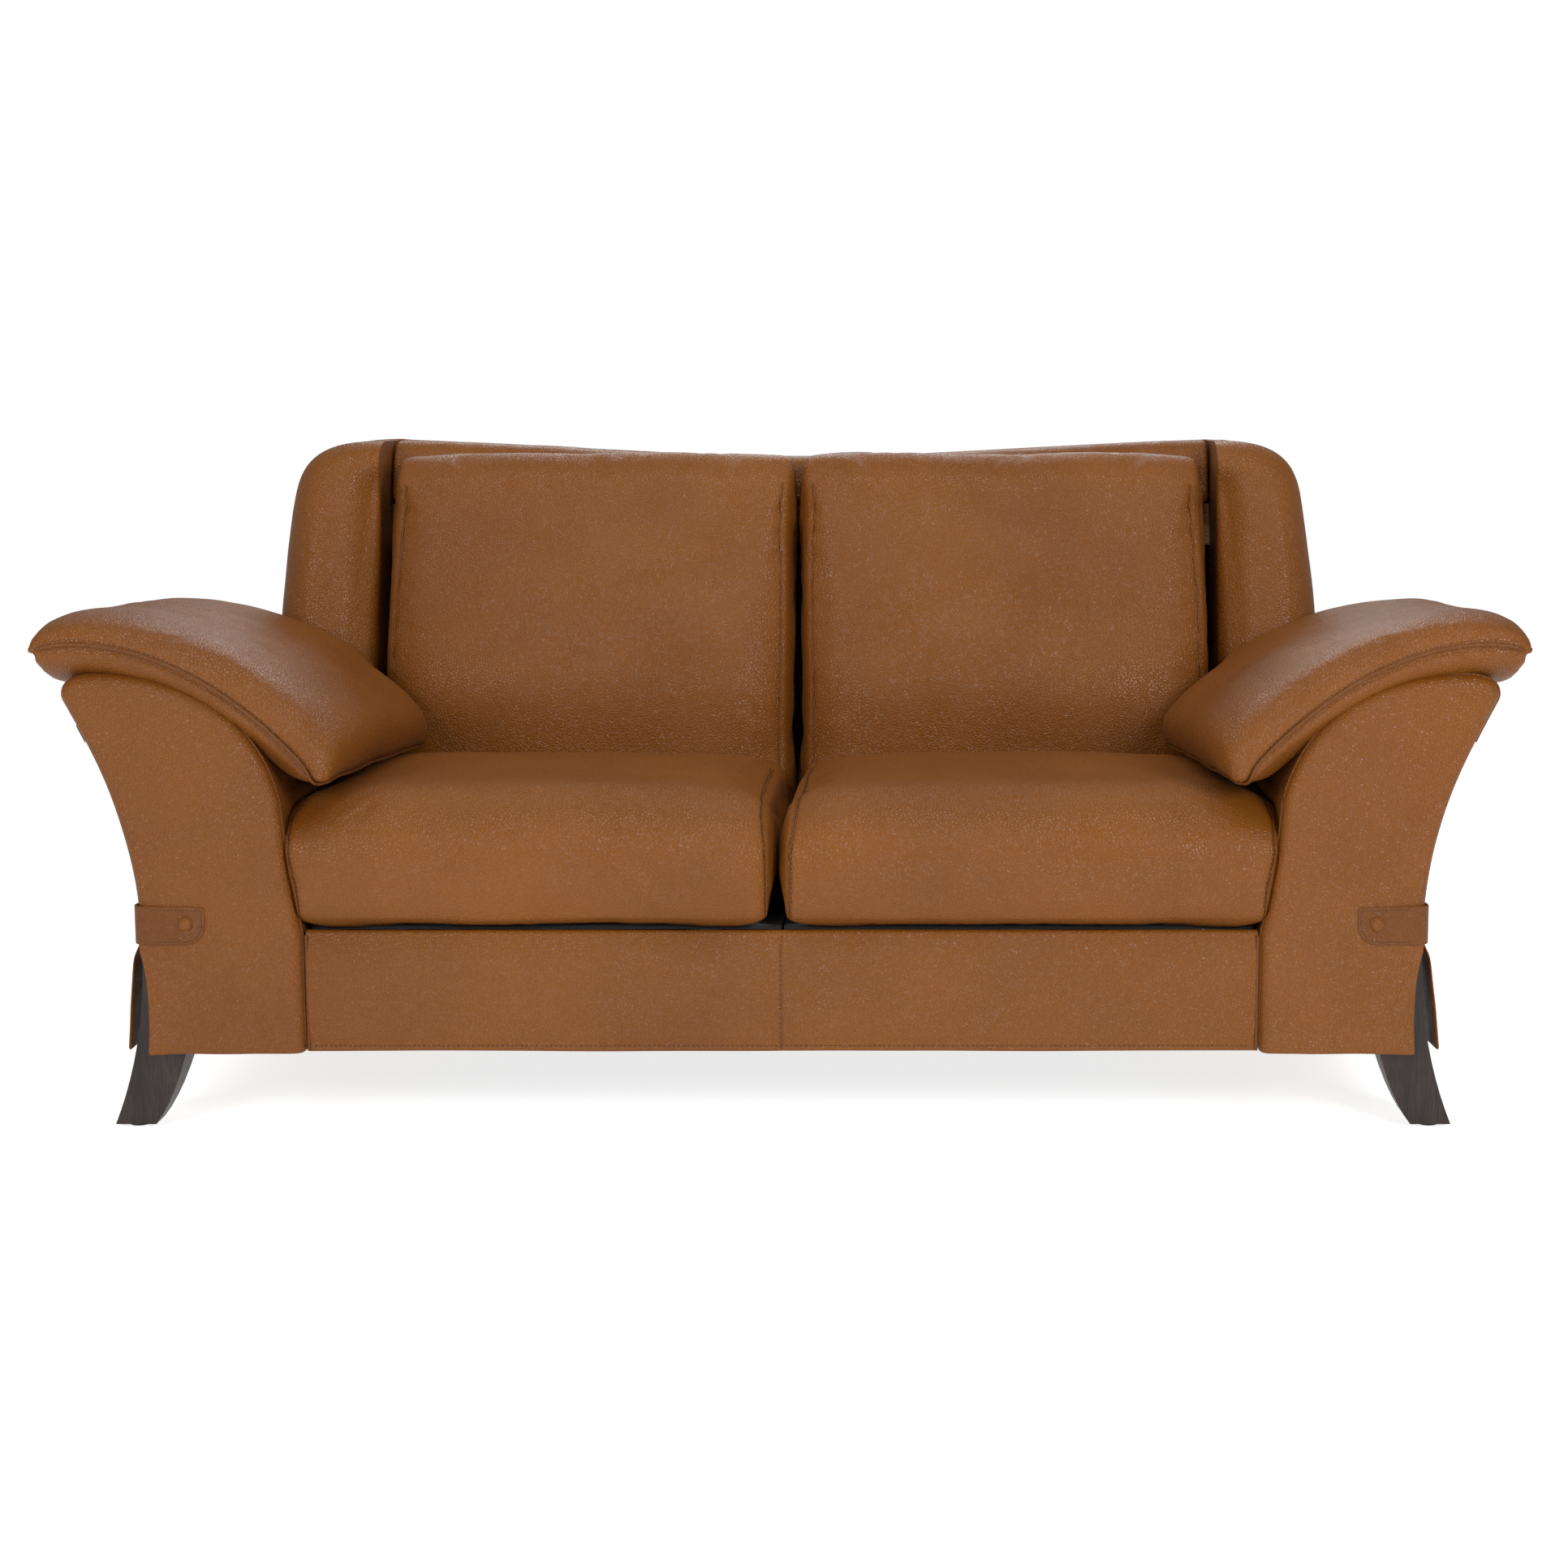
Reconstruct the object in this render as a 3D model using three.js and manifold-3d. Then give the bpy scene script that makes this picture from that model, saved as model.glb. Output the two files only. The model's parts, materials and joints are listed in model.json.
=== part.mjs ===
// Two-seat leather sofa with flared arms, loose seat and back cushions and sabre legs.
// Millimetres. +Z is up, the seat faces -Y, and the origin is on the floor under the middle of the sofa.
// "left" and "right" are those of someone standing in front of it; "front" is the -Y side.
// Depths called y are counted from the front plane of the arms, and the whole group is moved at the end.
import * as THREE from "three";
import { mergeVertices } from "three/addons/utils/BufferGeometryUtils.js";
import Module from "manifold-3d";

// ---------------------------------------------------------------- driving dimensions
const fitGap = 0.4; // between wooden or metal pieces that touch
const softGap = 3; // between soft pieces and what is next to them
const seatHalfWidth = 634; // inner face of each arm, low down
const armWaist = 211; // width of an arm at its waist
const armFlare = 91; // how far the top of the arm overhangs the waist
const armTop = 607;
const armInnerShoulder = 440; // where the inner face starts to curve outwards
const armInnerLean = 25; // how far the inner face leans out up to there
const coverWall = 14; // foam and leather over the arm frame
const skirtWall = 4; // leather hanging below the frame
const hemHeight = 105;
const slitTop = 243; // top of the open corner that shows the leg
const skirtFlare = 27; // how far the side skirts stand out at the hem
const boardThickness = 22;
const padOverhang = 12; // the arm pad stands this far in front of the arm
const padTipBeyondArm = 39;
const padRise = 49;
const padDrop = 46;
const padSlip = 44; // the rear of the pad reaches this much further over the seat than its front
const strapWidth = 52;
const strapReach = 88;
const strapRootLength = 70; // the part sewn to the side of the arm
const strapThickness = 3;
const strapStandOff = 3;
const buttonRadius = 9.5;
const buttonHeight = 5;
const studRadius = 5;
const legFrontDepth = 18; // behind the front plane of the arm
const legDepthTop = 84;
const legDepthFoot = 44;
const legTop = 300;
const legKnee = 180; // the leg tapers and curves outwards below this height
const legFootWidth = 54;
const legSplay = 46; // how far the foot stands outside the waist
const glideRadius = 13;
const glideHeight = 4;
const boltRadius = 4;
const boltHole = 4.4;
const boltHeadRadius = 7.5;
const boltHeadHeight = 6;
const boltHeight = 270;
const boltLength = 78;
const deckFront = 271.5;
const deckSlope = Math.tan(THREE.MathUtils.degToRad(2));
const deckThickness = 6;
const springThickness = 4;
const springAmplitude = 24;
const springPitch = 44;
const springsPerSeat = 3;
const railHeight = 122; // underside of the seat frame
const apronRecess = 12;
const apronWall = 14;
const frontRailThickness = 33;
const seatFrontHeight = 444;
const seatCrown = 458;
const seatRear = 449;
const seatBulge = 8; // the seat's front stands this far before the arm
const backRake = Math.tan(THREE.MathUtils.degToRad(13.5));
const backFoot = 700; // rear face of the back and of the arms, at the height of the hem
const backTop = 900;
const backSag = 27; // how far the top dips between the wings
const wingSetIn = 37; // the wing stands this far inside the waist of the arm
const backCore = 92; // frame, webbing and lining behind the cushion
const backCushionThickness = 158;
const backCushionTop = 876;
const outerCoverWall = 6;
const postWidth = 30;
const postDepth = 58;
const wingDepth = 195;
const wingRoll = 16; // the wing is rounded this much at its front and rear edges
const wingLean = 30; // the outer edge of the wing leans in this far up to its round corner
const wingCrest = 23; // straight part of the top of the wing, beside the cushion
const topRailReach = 128; // the top rail runs this far into each wing
const topRailBottom = 736;
const topRailTop = 799;
const liningBottom = 262;

const armInner = seatHalfWidth;
const armOuter = armInner + armWaist;
const armCorner = armOuter + armFlare;
const backHalfWidth = armOuter - wingSetIn;
const rearPlane = (z) => backFoot + (z - hemHeight) * backRake;
const overallDepth = padOverhang + backFoot + (backTop - hemHeight) * backRake;
const wingInner = armInner + 9;
const wingCorner = backHalfWidth - wingLean - wingInner - wingCrest;
const backFrontFace = backFoot - backCore - 2 - backCushionThickness;

// ---------------------------------------------------------------- materials
const paint = (color, roughness, metalness = 0) =>
  new THREE.MeshStandardMaterial({ color, roughness, metalness });
const leather = paint(0x8a5730, 0.5);
const darkWood = paint(0x1c1210, 0.35);
const beech = paint(0xc79a63, 0.7);
const steel = paint(0x8c8f93, 0.35, 1);
const felt = paint(0x3b3b3d, 0.95);
const webbing = paint(0x2b2b2e, 0.9);
const lining = paint(0x2a2522, 0.95);

// ---------------------------------------------------------------- geometry helpers
const wasm = await Module();
wasm.setup();

// A closed three.js geometry as a solid that can be joined and cut.
function solid(geometry) {
  const bare = new THREE.BufferGeometry().setAttribute("position", geometry.getAttribute("position"));
  if (geometry.index) bare.setIndex(geometry.index);
  const merged = mergeVertices(bare, 1e-3);
  return new wasm.Manifold(
    new wasm.Mesh({
      numProp: 3,
      vertProperties: merged.attributes.position.array,
      triVerts: new Uint32Array(merged.index.array),
    }),
  );
}

function geometryOf(made) {
  const mesh = made.getMesh();
  const geometry = new THREE.BufferGeometry();
  geometry.setAttribute("position", new THREE.BufferAttribute(new Float32Array(mesh.vertProperties), 3));
  geometry.setIndex(new THREE.BufferAttribute(mesh.triVerts, 1));
  geometry.computeVertexNormals();
  return geometry;
}

const join = (first, ...rest) =>
  geometryOf(rest.reduce((sum, piece) => sum.add(solid(piece)), solid(first)));
const cut = (first, ...rest) =>
  geometryOf(rest.reduce((left, piece) => left.subtract(solid(piece)), solid(first)));
const shapeOf = (points) => new THREE.Shape(points.map(([a, b]) => new THREE.Vector2(a, b)));

function extrude(shape, length, bevel) {
  return new THREE.ExtrudeGeometry(shape, {
    depth: length - 2 * bevel,
    bevelEnabled: bevel > 0,
    bevelThickness: bevel,
    bevelSize: bevel,
    bevelOffset: -bevel,
    bevelSegments: 3,
    curveSegments: 8,
  }).translate(0, 0, bevel);
}

// A shape drawn in X and Z, carried from y0 to y1.
const prismY = (shape, y0, y1, bevel = 0) =>
  extrude(shape, y1 - y0, bevel).rotateX(Math.PI / 2).translate(0, y1, 0);

// A shape drawn in Y and Z, carried from x0 to x1.
const prismX = (shape, x0, x1, bevel = 0) =>
  extrude(shape, x1 - x0, bevel).rotateX(Math.PI / 2).rotateZ(Math.PI / 2).translate(x0, 0, 0);

function box([x0, x1], [y0, y1], [z0, z1]) {
  const made = new THREE.BoxGeometry(x1 - x0, y1 - y0, z1 - z0);
  return made.translate((x0 + x1) / 2, (y0 + y1) / 2, (z0 + z1) / 2);
}

// Moves every vertex of a geometry by a function of its place.
function reshape(geometry, move) {
  const place = geometry.getAttribute("position");
  const p = new THREE.Vector3();
  for (let i = 0; i < place.count; i++) {
    move(p.fromBufferAttribute(place, i));
    place.setXYZ(i, p.x, p.y, p.z);
  }
  geometry.computeVertexNormals();
  return geometry;
}

// Leans an upright piece of the back by the rake, keeping its heights.
const lean = (geometry) => reshape(geometry, (p) => (p.y += (p.z - hemHeight) * backRake));

// Leans only the rear end of a piece that runs the length of the arm.
const rakeRear = (geometry) =>
  reshape(geometry, (p) => (p.y += p.y > backFoot / 2 ? (p.z - hemHeight) * backRake : 0));

// Points beside a curve, at a distance that may change along it; positive is to the left of its direction.
function beside(curve, distance, count, from = 0, to = 1) {
  const made = [];
  for (let i = 0; i <= count; i++) {
    const t = from + ((to - from) * i) / count;
    const p = curve.getPoint(t);
    const along = curve.getTangent(t);
    const off = typeof distance === "function" ? distance(t) : distance;
    made.push([p.x - along.y * off, p.y + along.x * off]);
  }
  return made;
}

// A closed skin over rings of points, each ring [x, y, z] going the same way round.
function loft(rings) {
  const n = rings[0].length;
  const middle = (ring) => ring.reduce((m, p) => m.map((v, k) => v + p[k] / n), [0, 0, 0]);
  const points = [...rings.flat(), middle(rings[0]), middle(rings[rings.length - 1])];
  const faces = [];
  const [startCap, endCap] = [points.length - 2, points.length - 1];
  for (let j = 0; j < n; j++) {
    const k = (j + 1) % n;
    for (let i = 0; i + 1 < rings.length; i++) {
      const [a, b] = [i * n, (i + 1) * n];
      faces.push(a + j, b + j, b + k, a + j, b + k, a + k);
    }
    const last = (rings.length - 1) * n;
    faces.push(startCap, j, k, endCap, last + k, last + j);
  }
  const geometry = new THREE.BufferGeometry();
  geometry.setAttribute("position", new THREE.Float32BufferAttribute(points.flat(), 3));
  geometry.setIndex(faces);
  geometry.computeVertexNormals();
  return geometry;
}

// ---------------------------------------------------------------- the group
const sofa = new THREE.Group();
sofa.name = "sofa";

function place(name, geometry, material, mirrorX = false, mirrorY = false) {
  const mesh = new THREE.Mesh(geometry, material);
  mesh.name = name;
  if (mirrorX) mesh.scale.x = -1;
  if (mirrorY) {
    mesh.scale.y = -1;
    mesh.position.y = backFoot;
  }
  sofa.add(mesh);
  return mesh;
}

// The same piece on the right side and, mirrored, on the left.
function pair(name, geometry, material) {
  place("right_" + name, geometry, material);
  place("left_" + name, geometry, material, true);
}

// The same piece at the four corners of the sofa, drawn for the front right one.
function corners(name, geometry, material) {
  place("front_right_" + name, geometry, material);
  place("front_left_" + name, geometry, material, true);
  place("rear_right_" + name, geometry, material, false, true);
  place("rear_left_" + name, geometry, material, true, true);
}

// ---------------------------------------------------------------- outlines of an arm, seen from the front
const v2 = (x, z) => new THREE.Vector2(x, z);
const innerCurve = new THREE.QuadraticBezierCurve(
  v2(armInner, 265),
  v2(armInner + armInnerLean * 0.72, 340),
  v2(armInner + armInnerLean, armInnerShoulder),
);
const topCurve = new THREE.CubicBezierCurve(
  v2(armInner + armInnerLean, armInnerShoulder),
  v2(armInner + armInnerLean + 16, armInnerShoulder + 75),
  v2(armOuter - 110, armTop - 3),
  v2(armCorner - 46, armTop),
);
const cornerCurve = new THREE.QuadraticBezierCurve(
  v2(armCorner - 46, armTop),
  v2(armCorner + 4, armTop),
  v2(armCorner, armTop - 29),
);
const outerCurve = new THREE.QuadraticBezierCurve(
  v2(armCorner, armTop - 29),
  v2(armOuter + 1, 410),
  v2(armOuter, 280),
);

// The arm's outline: up the inner face, over the top and down the outer face, taken in by inset.
function armOutline(inset, bottom) {
  const rim = [
    [armInner + inset, bottom],
    ...beside(innerCurve, -inset, 4),
    ...beside(topCurve, -inset, 10).slice(1),
    ...beside(cornerCurve, -inset, 4).slice(1),
    ...beside(outerCurve, -inset, 8).slice(1),
    [armOuter - inset, bottom],
  ];
  return shapeOf(rim.reverse());
}

// ---------------------------------------------------------------- arms
const strapBottom = slitTop + 9;
const strapTop = strapBottom + strapWidth;
const buttonX = armOuter - 62;
const buttonZ = strapBottom + strapWidth / 2 + 2;

// The flared edge of a skirt, from where it leaves the arm down to the hem, taken in by inset.
const skirtEdge = (inset) => [
  [armOuter - inset, slitTop + 14],
  [armOuter + skirtFlare * 0.47 - inset, slitTop - 12],
  [armOuter + skirtFlare * 0.8 - inset, slitTop - 78],
  [armOuter + skirtFlare - inset, hemHeight + 3],
];

function armCover() {
  const shell = rakeRear(prismY(armOutline(0, slitTop), 0, backFoot));
  const hollow = rakeRear(prismY(armOutline(coverWall, hemHeight), coverWall, backFoot - coverWall));
  const frontPanel = new THREE.Shape();
  frontPanel.moveTo(armInner, hemHeight);
  frontPanel.lineTo(armOuter - 9, hemHeight);
  frontPanel.quadraticCurveTo(armOuter - 16, 190, armOuter, slitTop);
  frontPanel.lineTo(armOuter, slitTop + 12);
  frontPanel.lineTo(armInner, slitTop + 12);
  const rearPanel = shapeOf([[armInner, slitTop + 12], [armInner, hemHeight], ...skirtEdge(0.5).reverse()]);
  const sideSkirt = shapeOf([...skirtEdge(skirtWall), ...skirtEdge(0).reverse()].reverse());
  const stud = new THREE.CylinderGeometry(studRadius, studRadius, strapStandOff, 12);
  return join(
    cut(shell, hollow),
    prismY(frontPanel, 0, skirtWall),
    lean(prismY(rearPanel, backFoot - skirtWall, backFoot)),
    rakeRear(prismY(sideSkirt, 12, backFoot - 1)),
    rakeRear(box([armInner, armInner + skirtWall], [0, backFoot], [hemHeight, slitTop + 12])),
    box([armOuter - 5, armOuter + strapThickness], [0, strapRootLength], [strapBottom, strapTop]),
    stud.translate(buttonX, 1 - strapStandOff / 2, buttonZ),
  );
}

const boardInset = coverWall + 1;
const railInner = armOuter - 112; // the base rail's inner face
const railOuter = armOuter - 74;

function armBoard(y) {
  const board = prismY(armOutline(boardInset, railHeight), y, y + boardThickness);
  const legRoom = box([railOuter - 2, armOuter], [y - 1, y + boardThickness + 1], [0, legTop + 5]);
  return cut(board, legRoom);
}

const boltY = legFrontDepth + legDepthTop / 2;
const boltBore = () =>
  new THREE.CylinderGeometry(boltHole, boltHole, 2 * boltLength, 12)
    .rotateZ(Math.PI / 2)
    .translate(railOuter, boltY, boltHeight);
const boardEnds = boardInset + boardThickness + fitGap;

function armBaseRail() {
  const bar = box([railInner, railOuter], [boardEnds, backFoot - boardEnds], [railHeight + 8, legTop]);
  return cut(bar, boltBore(), boltBore().translate(0, backFoot - 2 * boltY, 0));
}

function armTopBoard() {
  const [bottom, top] = [armTop - 51, armTop - 35];
  return box([armOuter - 40, armOuter + 55], [boardEnds, rearPlane(bottom) - boardEnds], [bottom, top]);
}

// The pad is a pillow bent over the arm along this curve, from its outer tip to its inner edge on the seat.
const padCurve = new THREE.CubicBezierCurve(
  v2(armCorner + padTipBeyondArm, armTop + 28),
  v2(armOuter - 5, armTop + 58),
  v2(armInner + 66, armTop - 7),
  v2(armInner - 46, armInnerShoulder + 33),
);
const wingFace = (z) => rearPlane(z) - wingDepth;
const cushionFace = (z) => backFrontFace + (z - hemHeight) * backRake;

function armPad() {
  const plump = (t, power) => Math.pow(Math.sin(Math.PI * THREE.MathUtils.clamp(t, 0.004, 0.996)), power);
  const stations = [
    [0, 0.25],
    [0.012, 0.62],
    [0.05, 0.9],
    [0.14, 1],
    [0.4, 0.96],
    [0.7, 0.9],
    [0.9, 0.88],
    [0.98, 0.75],
    [1, 0.5],
  ];
  const rings = stations.map(([share, fullness]) => {
    const over = beside(padCurve, (t) => -padRise * plump(t, 0.5) * fullness, 12);
    const under = beside(padCurve, (t) => padDrop * plump(t, 0.27) * fullness, 12).reverse().slice(1, -1);
    return [...over, ...under].map(([x, z]) => {
      const inwards = Math.max(0, (armOuter - x) / (armOuter - armInner)) * padSlip * (share - 0.3);
      const rear = wingFace(z) - softGap - 1;
      return [x - inwards, -padOverhang + (rear + padOverhang) * share, z];
    });
  });
  const [low, high] = [armInnerShoulder - 140, backTop - 100];
  const backRoom = shapeOf([
    [cushionFace(low) - softGap - 1, low],
    [backFoot, low],
    [backFoot, high],
    [cushionFace(high) - softGap - 1, high],
  ]);
  const armRoom = prismY(armOutline(-fitGap, hemHeight), -2 * padOverhang, backFoot);
  return cut(loft(rings), prismX(backRoom, 0, wingInner - 4), armRoom);
}

// ---------------------------------------------------------------- straps that close the corners
function strapFlap() {
  const round = 26;
  const [root, end] = [armOuter, armOuter - strapReach];
  const outline = new THREE.Shape();
  outline.moveTo(root, strapBottom);
  outline.lineTo(root, strapTop);
  outline.lineTo(end, strapTop - 7);
  outline.lineTo(end + 1, strapBottom + round);
  outline.quadraticCurveTo(end + 3, strapBottom + 2, end + round + 4, strapBottom);
  return prismY(outline, -strapStandOff - strapThickness, -strapStandOff);
}

function strapButton() {
  const cap = [
    [0, 0],
    [buttonRadius, 0],
    [buttonRadius, buttonHeight * 0.45],
    [buttonRadius * 0.72, buttonHeight * 0.9],
    [0, buttonHeight],
  ].map(([r, h]) => v2(r, h));
  const rear = -strapStandOff - strapThickness - 0.3;
  return new THREE.LatheGeometry(cap, 20).rotateX(Math.PI).translate(buttonX, rear, buttonZ);
}

// ---------------------------------------------------------------- legs
function leg() {
  const foot = armOuter + legSplay;
  const sole = glideHeight + 0.3;
  const side = new THREE.Shape();
  side.moveTo(railOuter + fitGap, legTop);
  side.lineTo(railOuter + fitGap, 205);
  side.lineTo(armOuter - 69, legKnee);
  side.quadraticCurveTo(armOuter - 45, 50, foot - legFootWidth, sole);
  side.lineTo(foot, sole);
  side.quadraticCurveTo(armOuter + 13, 84, armOuter + 4, legKnee);
  side.lineTo(armOuter + 1, slitTop - 2);
  side.lineTo(armOuter - coverWall - 1.5, slitTop - 2);
  side.lineTo(armOuter - coverWall - 1.5, legTop);
  const blank = prismY(side, legFrontDepth, legFrontDepth + legDepthTop);
  const taper = (z) => THREE.MathUtils.lerp(legDepthFoot / legDepthTop, 1, Math.min(1, z / legKnee));
  reshape(blank, (p) => (p.y = legFrontDepth + (p.y - legFrontDepth) * taper(p.z)));
  return cut(blank, boltBore());
}

function legBolt() {
  const profile = [
    [0, 0],
    [boltHeadRadius, 0],
    [boltHeadRadius, boltHeadHeight],
    [boltRadius, boltHeadHeight],
    [boltRadius, boltLength],
    [0, boltLength],
  ].map(([r, h]) => v2(r, h));
  return new THREE.LatheGeometry(profile, 12)
    .rotateZ(-Math.PI / 2)
    .translate(railInner - boltHeadHeight - fitGap, boltY, boltHeight);
}

function glide() {
  const [x, y] = [armOuter + legSplay - legFootWidth / 2, legFrontDepth + legDepthFoot / 2];
  return new THREE.CylinderGeometry(glideRadius, glideRadius, glideHeight, 24)
    .rotateX(Math.PI / 2)
    .translate(x, y, glideHeight / 2);
}

// ---------------------------------------------------------------- seat frame, springs and deck
const deckTop = (y) => deckFront - y * deckSlope;
const frontRail = [apronRecess + apronWall + fitGap, apronRecess + apronWall + frontRailThickness];
const rearRail = [backFoot - 94, backFoot - 68];
const springUnder = (y) => deckTop(y) - deckThickness - fitGap - springThickness;
const springEnds = [frontRail[1] - 22, rearRail[1] - 4];

function apron() {
  const face = apronRecess;
  const edge = shapeOf([
    [face, hemHeight],
    [face + apronWall, hemHeight],
    [face + apronWall, 260],
    [face + 22, 260],
    [face + 22, 268],
    [face + 10, 268],
    [face, 258],
  ]);
  return prismX(edge, softGap - armInner, armInner - softGap);
}

// A sinuous spring: a wave of flat wire from the front rail to the rear one.
function spring(x) {
  const [start, stop] = springEnds;
  const waves = Math.floor((stop - start) / springPitch);
  const points = [];
  const steps = waves * 6;
  for (let i = 0; i <= steps; i++) {
    const turn = (i / 6) * 2 * Math.PI;
    const y = start + ((stop - start) * i) / steps;
    points.push(new THREE.Vector3(x + springAmplitude * Math.sin(turn), y, 0));
  }
  const centre = new THREE.CatmullRomCurve3(points);
  const half = springThickness / 2;
  const edge = (side) => {
    const line = [];
    for (let i = 0; i <= steps; i++) {
      const p = centre.getPoint(i / steps);
      const along = centre.getTangent(i / steps);
      line.push([p.x - along.y * half * side, p.y + along.x * half * side]);
    }
    return line;
  };
  const wire = extrude(shapeOf([...edge(-1), ...edge(1).reverse()]), springThickness, 0);
  return reshape(wire, (p) => (p.z += springUnder(p.y)));
}

function deck() {
  const slab = box([1, armInner - 6], [springEnds[0], rearRail[1] - 2], [-deckThickness, 0]);
  return reshape(slab, (p) => (p.z += deckTop(p.y)));
}

function seatFrame() {
  const ends = armInner - 14;
  const springRest = [springUnder(frontRail[1]), springUnder(rearRail[1])].map((z) => z - fitGap);
  place("front_rail", box([-ends, ends], frontRail, [railHeight, springRest[0]]), beech);
  place("rear_rail", box([-ends, ends], rearRail, [railHeight, springRest[1]]), beech);
  const between = [frontRail[1] + fitGap, rearRail[0] - fitGap];
  place("centre_rail", box([-12, 12], between, [railHeight + 8, springRest[1] - 20]), beech);
  const dustCover = box([-ends, ends], [frontRail[0], rearRail[1]], [railHeight - 4, railHeight - fitGap]);
  place("dust_cover", dustCover, lining);
}

// ---------------------------------------------------------------- cushions
function seatCushion() {
  const under = (y) => deckTop(y) + 0.6;
  const rear = (z) => cushionFace(z) - softGap;
  const side = new THREE.Shape();
  side.moveTo(18, under(18));
  side.lineTo(rear(under(490)) - 4, under(490));
  side.lineTo(rear(seatRear - 30), seatRear - 30);
  side.quadraticCurveTo(rear(seatRear), seatRear, rear(seatRear) - 60, seatRear + 3);
  side.lineTo(200, seatCrown);
  side.bezierCurveTo(90, seatCrown + 2, 20, seatFrontHeight + 6, -seatBulge + 4, 390);
  side.bezierCurveTo(-seatBulge - 4, 350, -seatBulge - 2, under(18) + 8, 18, under(18));
  const slab = prismX(side, 2, armInner - 2, 14);
  const width = armInner - 2;
  const spread = (z) => (armInnerLean - 2) * THREE.MathUtils.clamp((z - 275) / 165, 0, 1);
  return reshape(slab, (p) => (p.x += (p.x / width) * spread(p.z)));
}

function backCushion() {
  const bottom = deckTop(backFrontFace) + 1.5;
  const round = 50;
  const [face, rear] = [backFrontFace, backFrontFace + backCushionThickness];
  const side = new THREE.Shape();
  side.moveTo(face + 12, bottom);
  side.lineTo(rear, bottom);
  side.lineTo(rear, backCushionTop - 20);
  side.quadraticCurveTo(rear, backCushionTop, rear - 30, backCushionTop);
  side.lineTo(face + round + 20, backCushionTop);
  side.quadraticCurveTo(face, backCushionTop, face, backCushionTop - round - 20);
  side.lineTo(face, bottom + 12);
  return lean(prismX(side, 2, armInner - 3, 12));
}

// ---------------------------------------------------------------- back
function back() {
  const coreFront = backFoot - backCore;
  const frameRear = backFoot - outerCoverWall - fitGap;
  const postInner = armInner - 49;
  const post = box(
    [postInner, postInner + postWidth],
    [frameRear - postDepth, frameRear],
    [railHeight, topRailBottom - fitGap],
  );
  pair("back_post", lean(post), beech);
  const railDepth = [frameRear - 50, frameRear];
  const topEnd = armInner + topRailReach;
  place("back_top_rail", lean(box([-topEnd, topEnd], railDepth, [topRailBottom, topRailTop])), beech);
  const webFront = frameRear - postDepth - 3;
  [340, 510, 630].forEach((z, i) => {
    const band = box([-armInner + 21, armInner - 21], [webFront, webFront + 2.5], [z, z + 60]);
    place("back_webbing_" + (i + 1), lean(band), webbing);
  });
  const liningHalf = armInner - 4;
  const cloth = box([-liningHalf, liningHalf], [coreFront, coreFront + 4], [liningBottom, topRailTop]);
  place("back_lining", lean(cloth), lining);

  const rollHalf = wingInner - softGap;
  const crest = new THREE.Shape();
  crest.moveTo(rollHalf, topRailTop + 2);
  crest.lineTo(rollHalf, backTop - 1);
  crestEdge(crest, rollHalf, backTop - 1);
  crest.lineTo(-rollHalf, topRailTop + 2);
  place("back_top_roll", lean(prismY(crest, coreFront, frameRear, 22)), leather);

  pair("wing", wing(topEnd, railDepth), leather);
  place("back_outer_cover", lean(prismY(outerBack(), backFoot - outerCoverWall, backFoot)), leather);
}

// The dipping top of the back, from a place to the right of its middle to the same place on the left.
function crestEdge(shape, half, ends) {
  const low = backTop - backSag;
  shape.bezierCurveTo(half * 0.6, backTop - 8, half * 0.35, low, 0, low);
  shape.bezierCurveTo(-half * 0.35, low, -half * 0.6, backTop - 8, -half, ends);
}

// The outer edge of the right side of the back, from the top of the arm up and round to the crest.
const wingFoot = v2(backHalfWidth - 2, armTop + softGap + 4);
const wingShoulder = v2(backHalfWidth - wingLean, backTop - 82);
const wingCorners = [
  [wingFoot, v2(backHalfWidth - 14, 690), v2(backHalfWidth - 20, 760), wingShoulder],
  [
    wingShoulder,
    v2(backHalfWidth - 40, backTop - 28),
    v2(backHalfWidth - 66, backTop - 5),
    v2(backHalfWidth - wingLean - wingCorner, backTop - 1),
  ],
];

function wingEdge(shape) {
  wingCorners.forEach(([, a, b, end]) => shape.bezierCurveTo(a.x, a.y, b.x, b.y, end.x, end.y));
}

// The same edge on the left side, from the crest down to the top of the arm.
function leftWingEdge(shape) {
  const back = [...wingCorners].reverse();
  back.forEach(([start, a, b]) => shape.bezierCurveTo(-b.x, b.y, -a.x, a.y, -start.x, start.y));
}

// The lower edge of the wing and of the outer cover, a little above the top of the arm.
const aboveArm = (from) =>
  beside(topCurve, softGap + 2, 6, from, 0.9).filter(([x]) => x < backHalfWidth - wingLean);

function wing(railEnd, railDepth) {
  const above = aboveArm(0.36);
  const outline = new THREE.Shape();
  outline.moveTo(wingInner, above[0][1]);
  above.forEach(([x, z]) => outline.lineTo(x, z));
  outline.lineTo(wingFoot.x, wingFoot.y);
  wingEdge(outline);
  outline.lineTo(wingInner, backTop);
  const slot = box(
    [0, railEnd + fitGap],
    [railDepth[0] - fitGap, backFoot],
    [topRailBottom - fitGap, topRailTop + fitGap],
  );
  const rear = backFoot - outerCoverWall - fitGap;
  return lean(cut(prismY(outline, backFoot - wingDepth, rear, wingRoll), slot));
}

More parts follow.
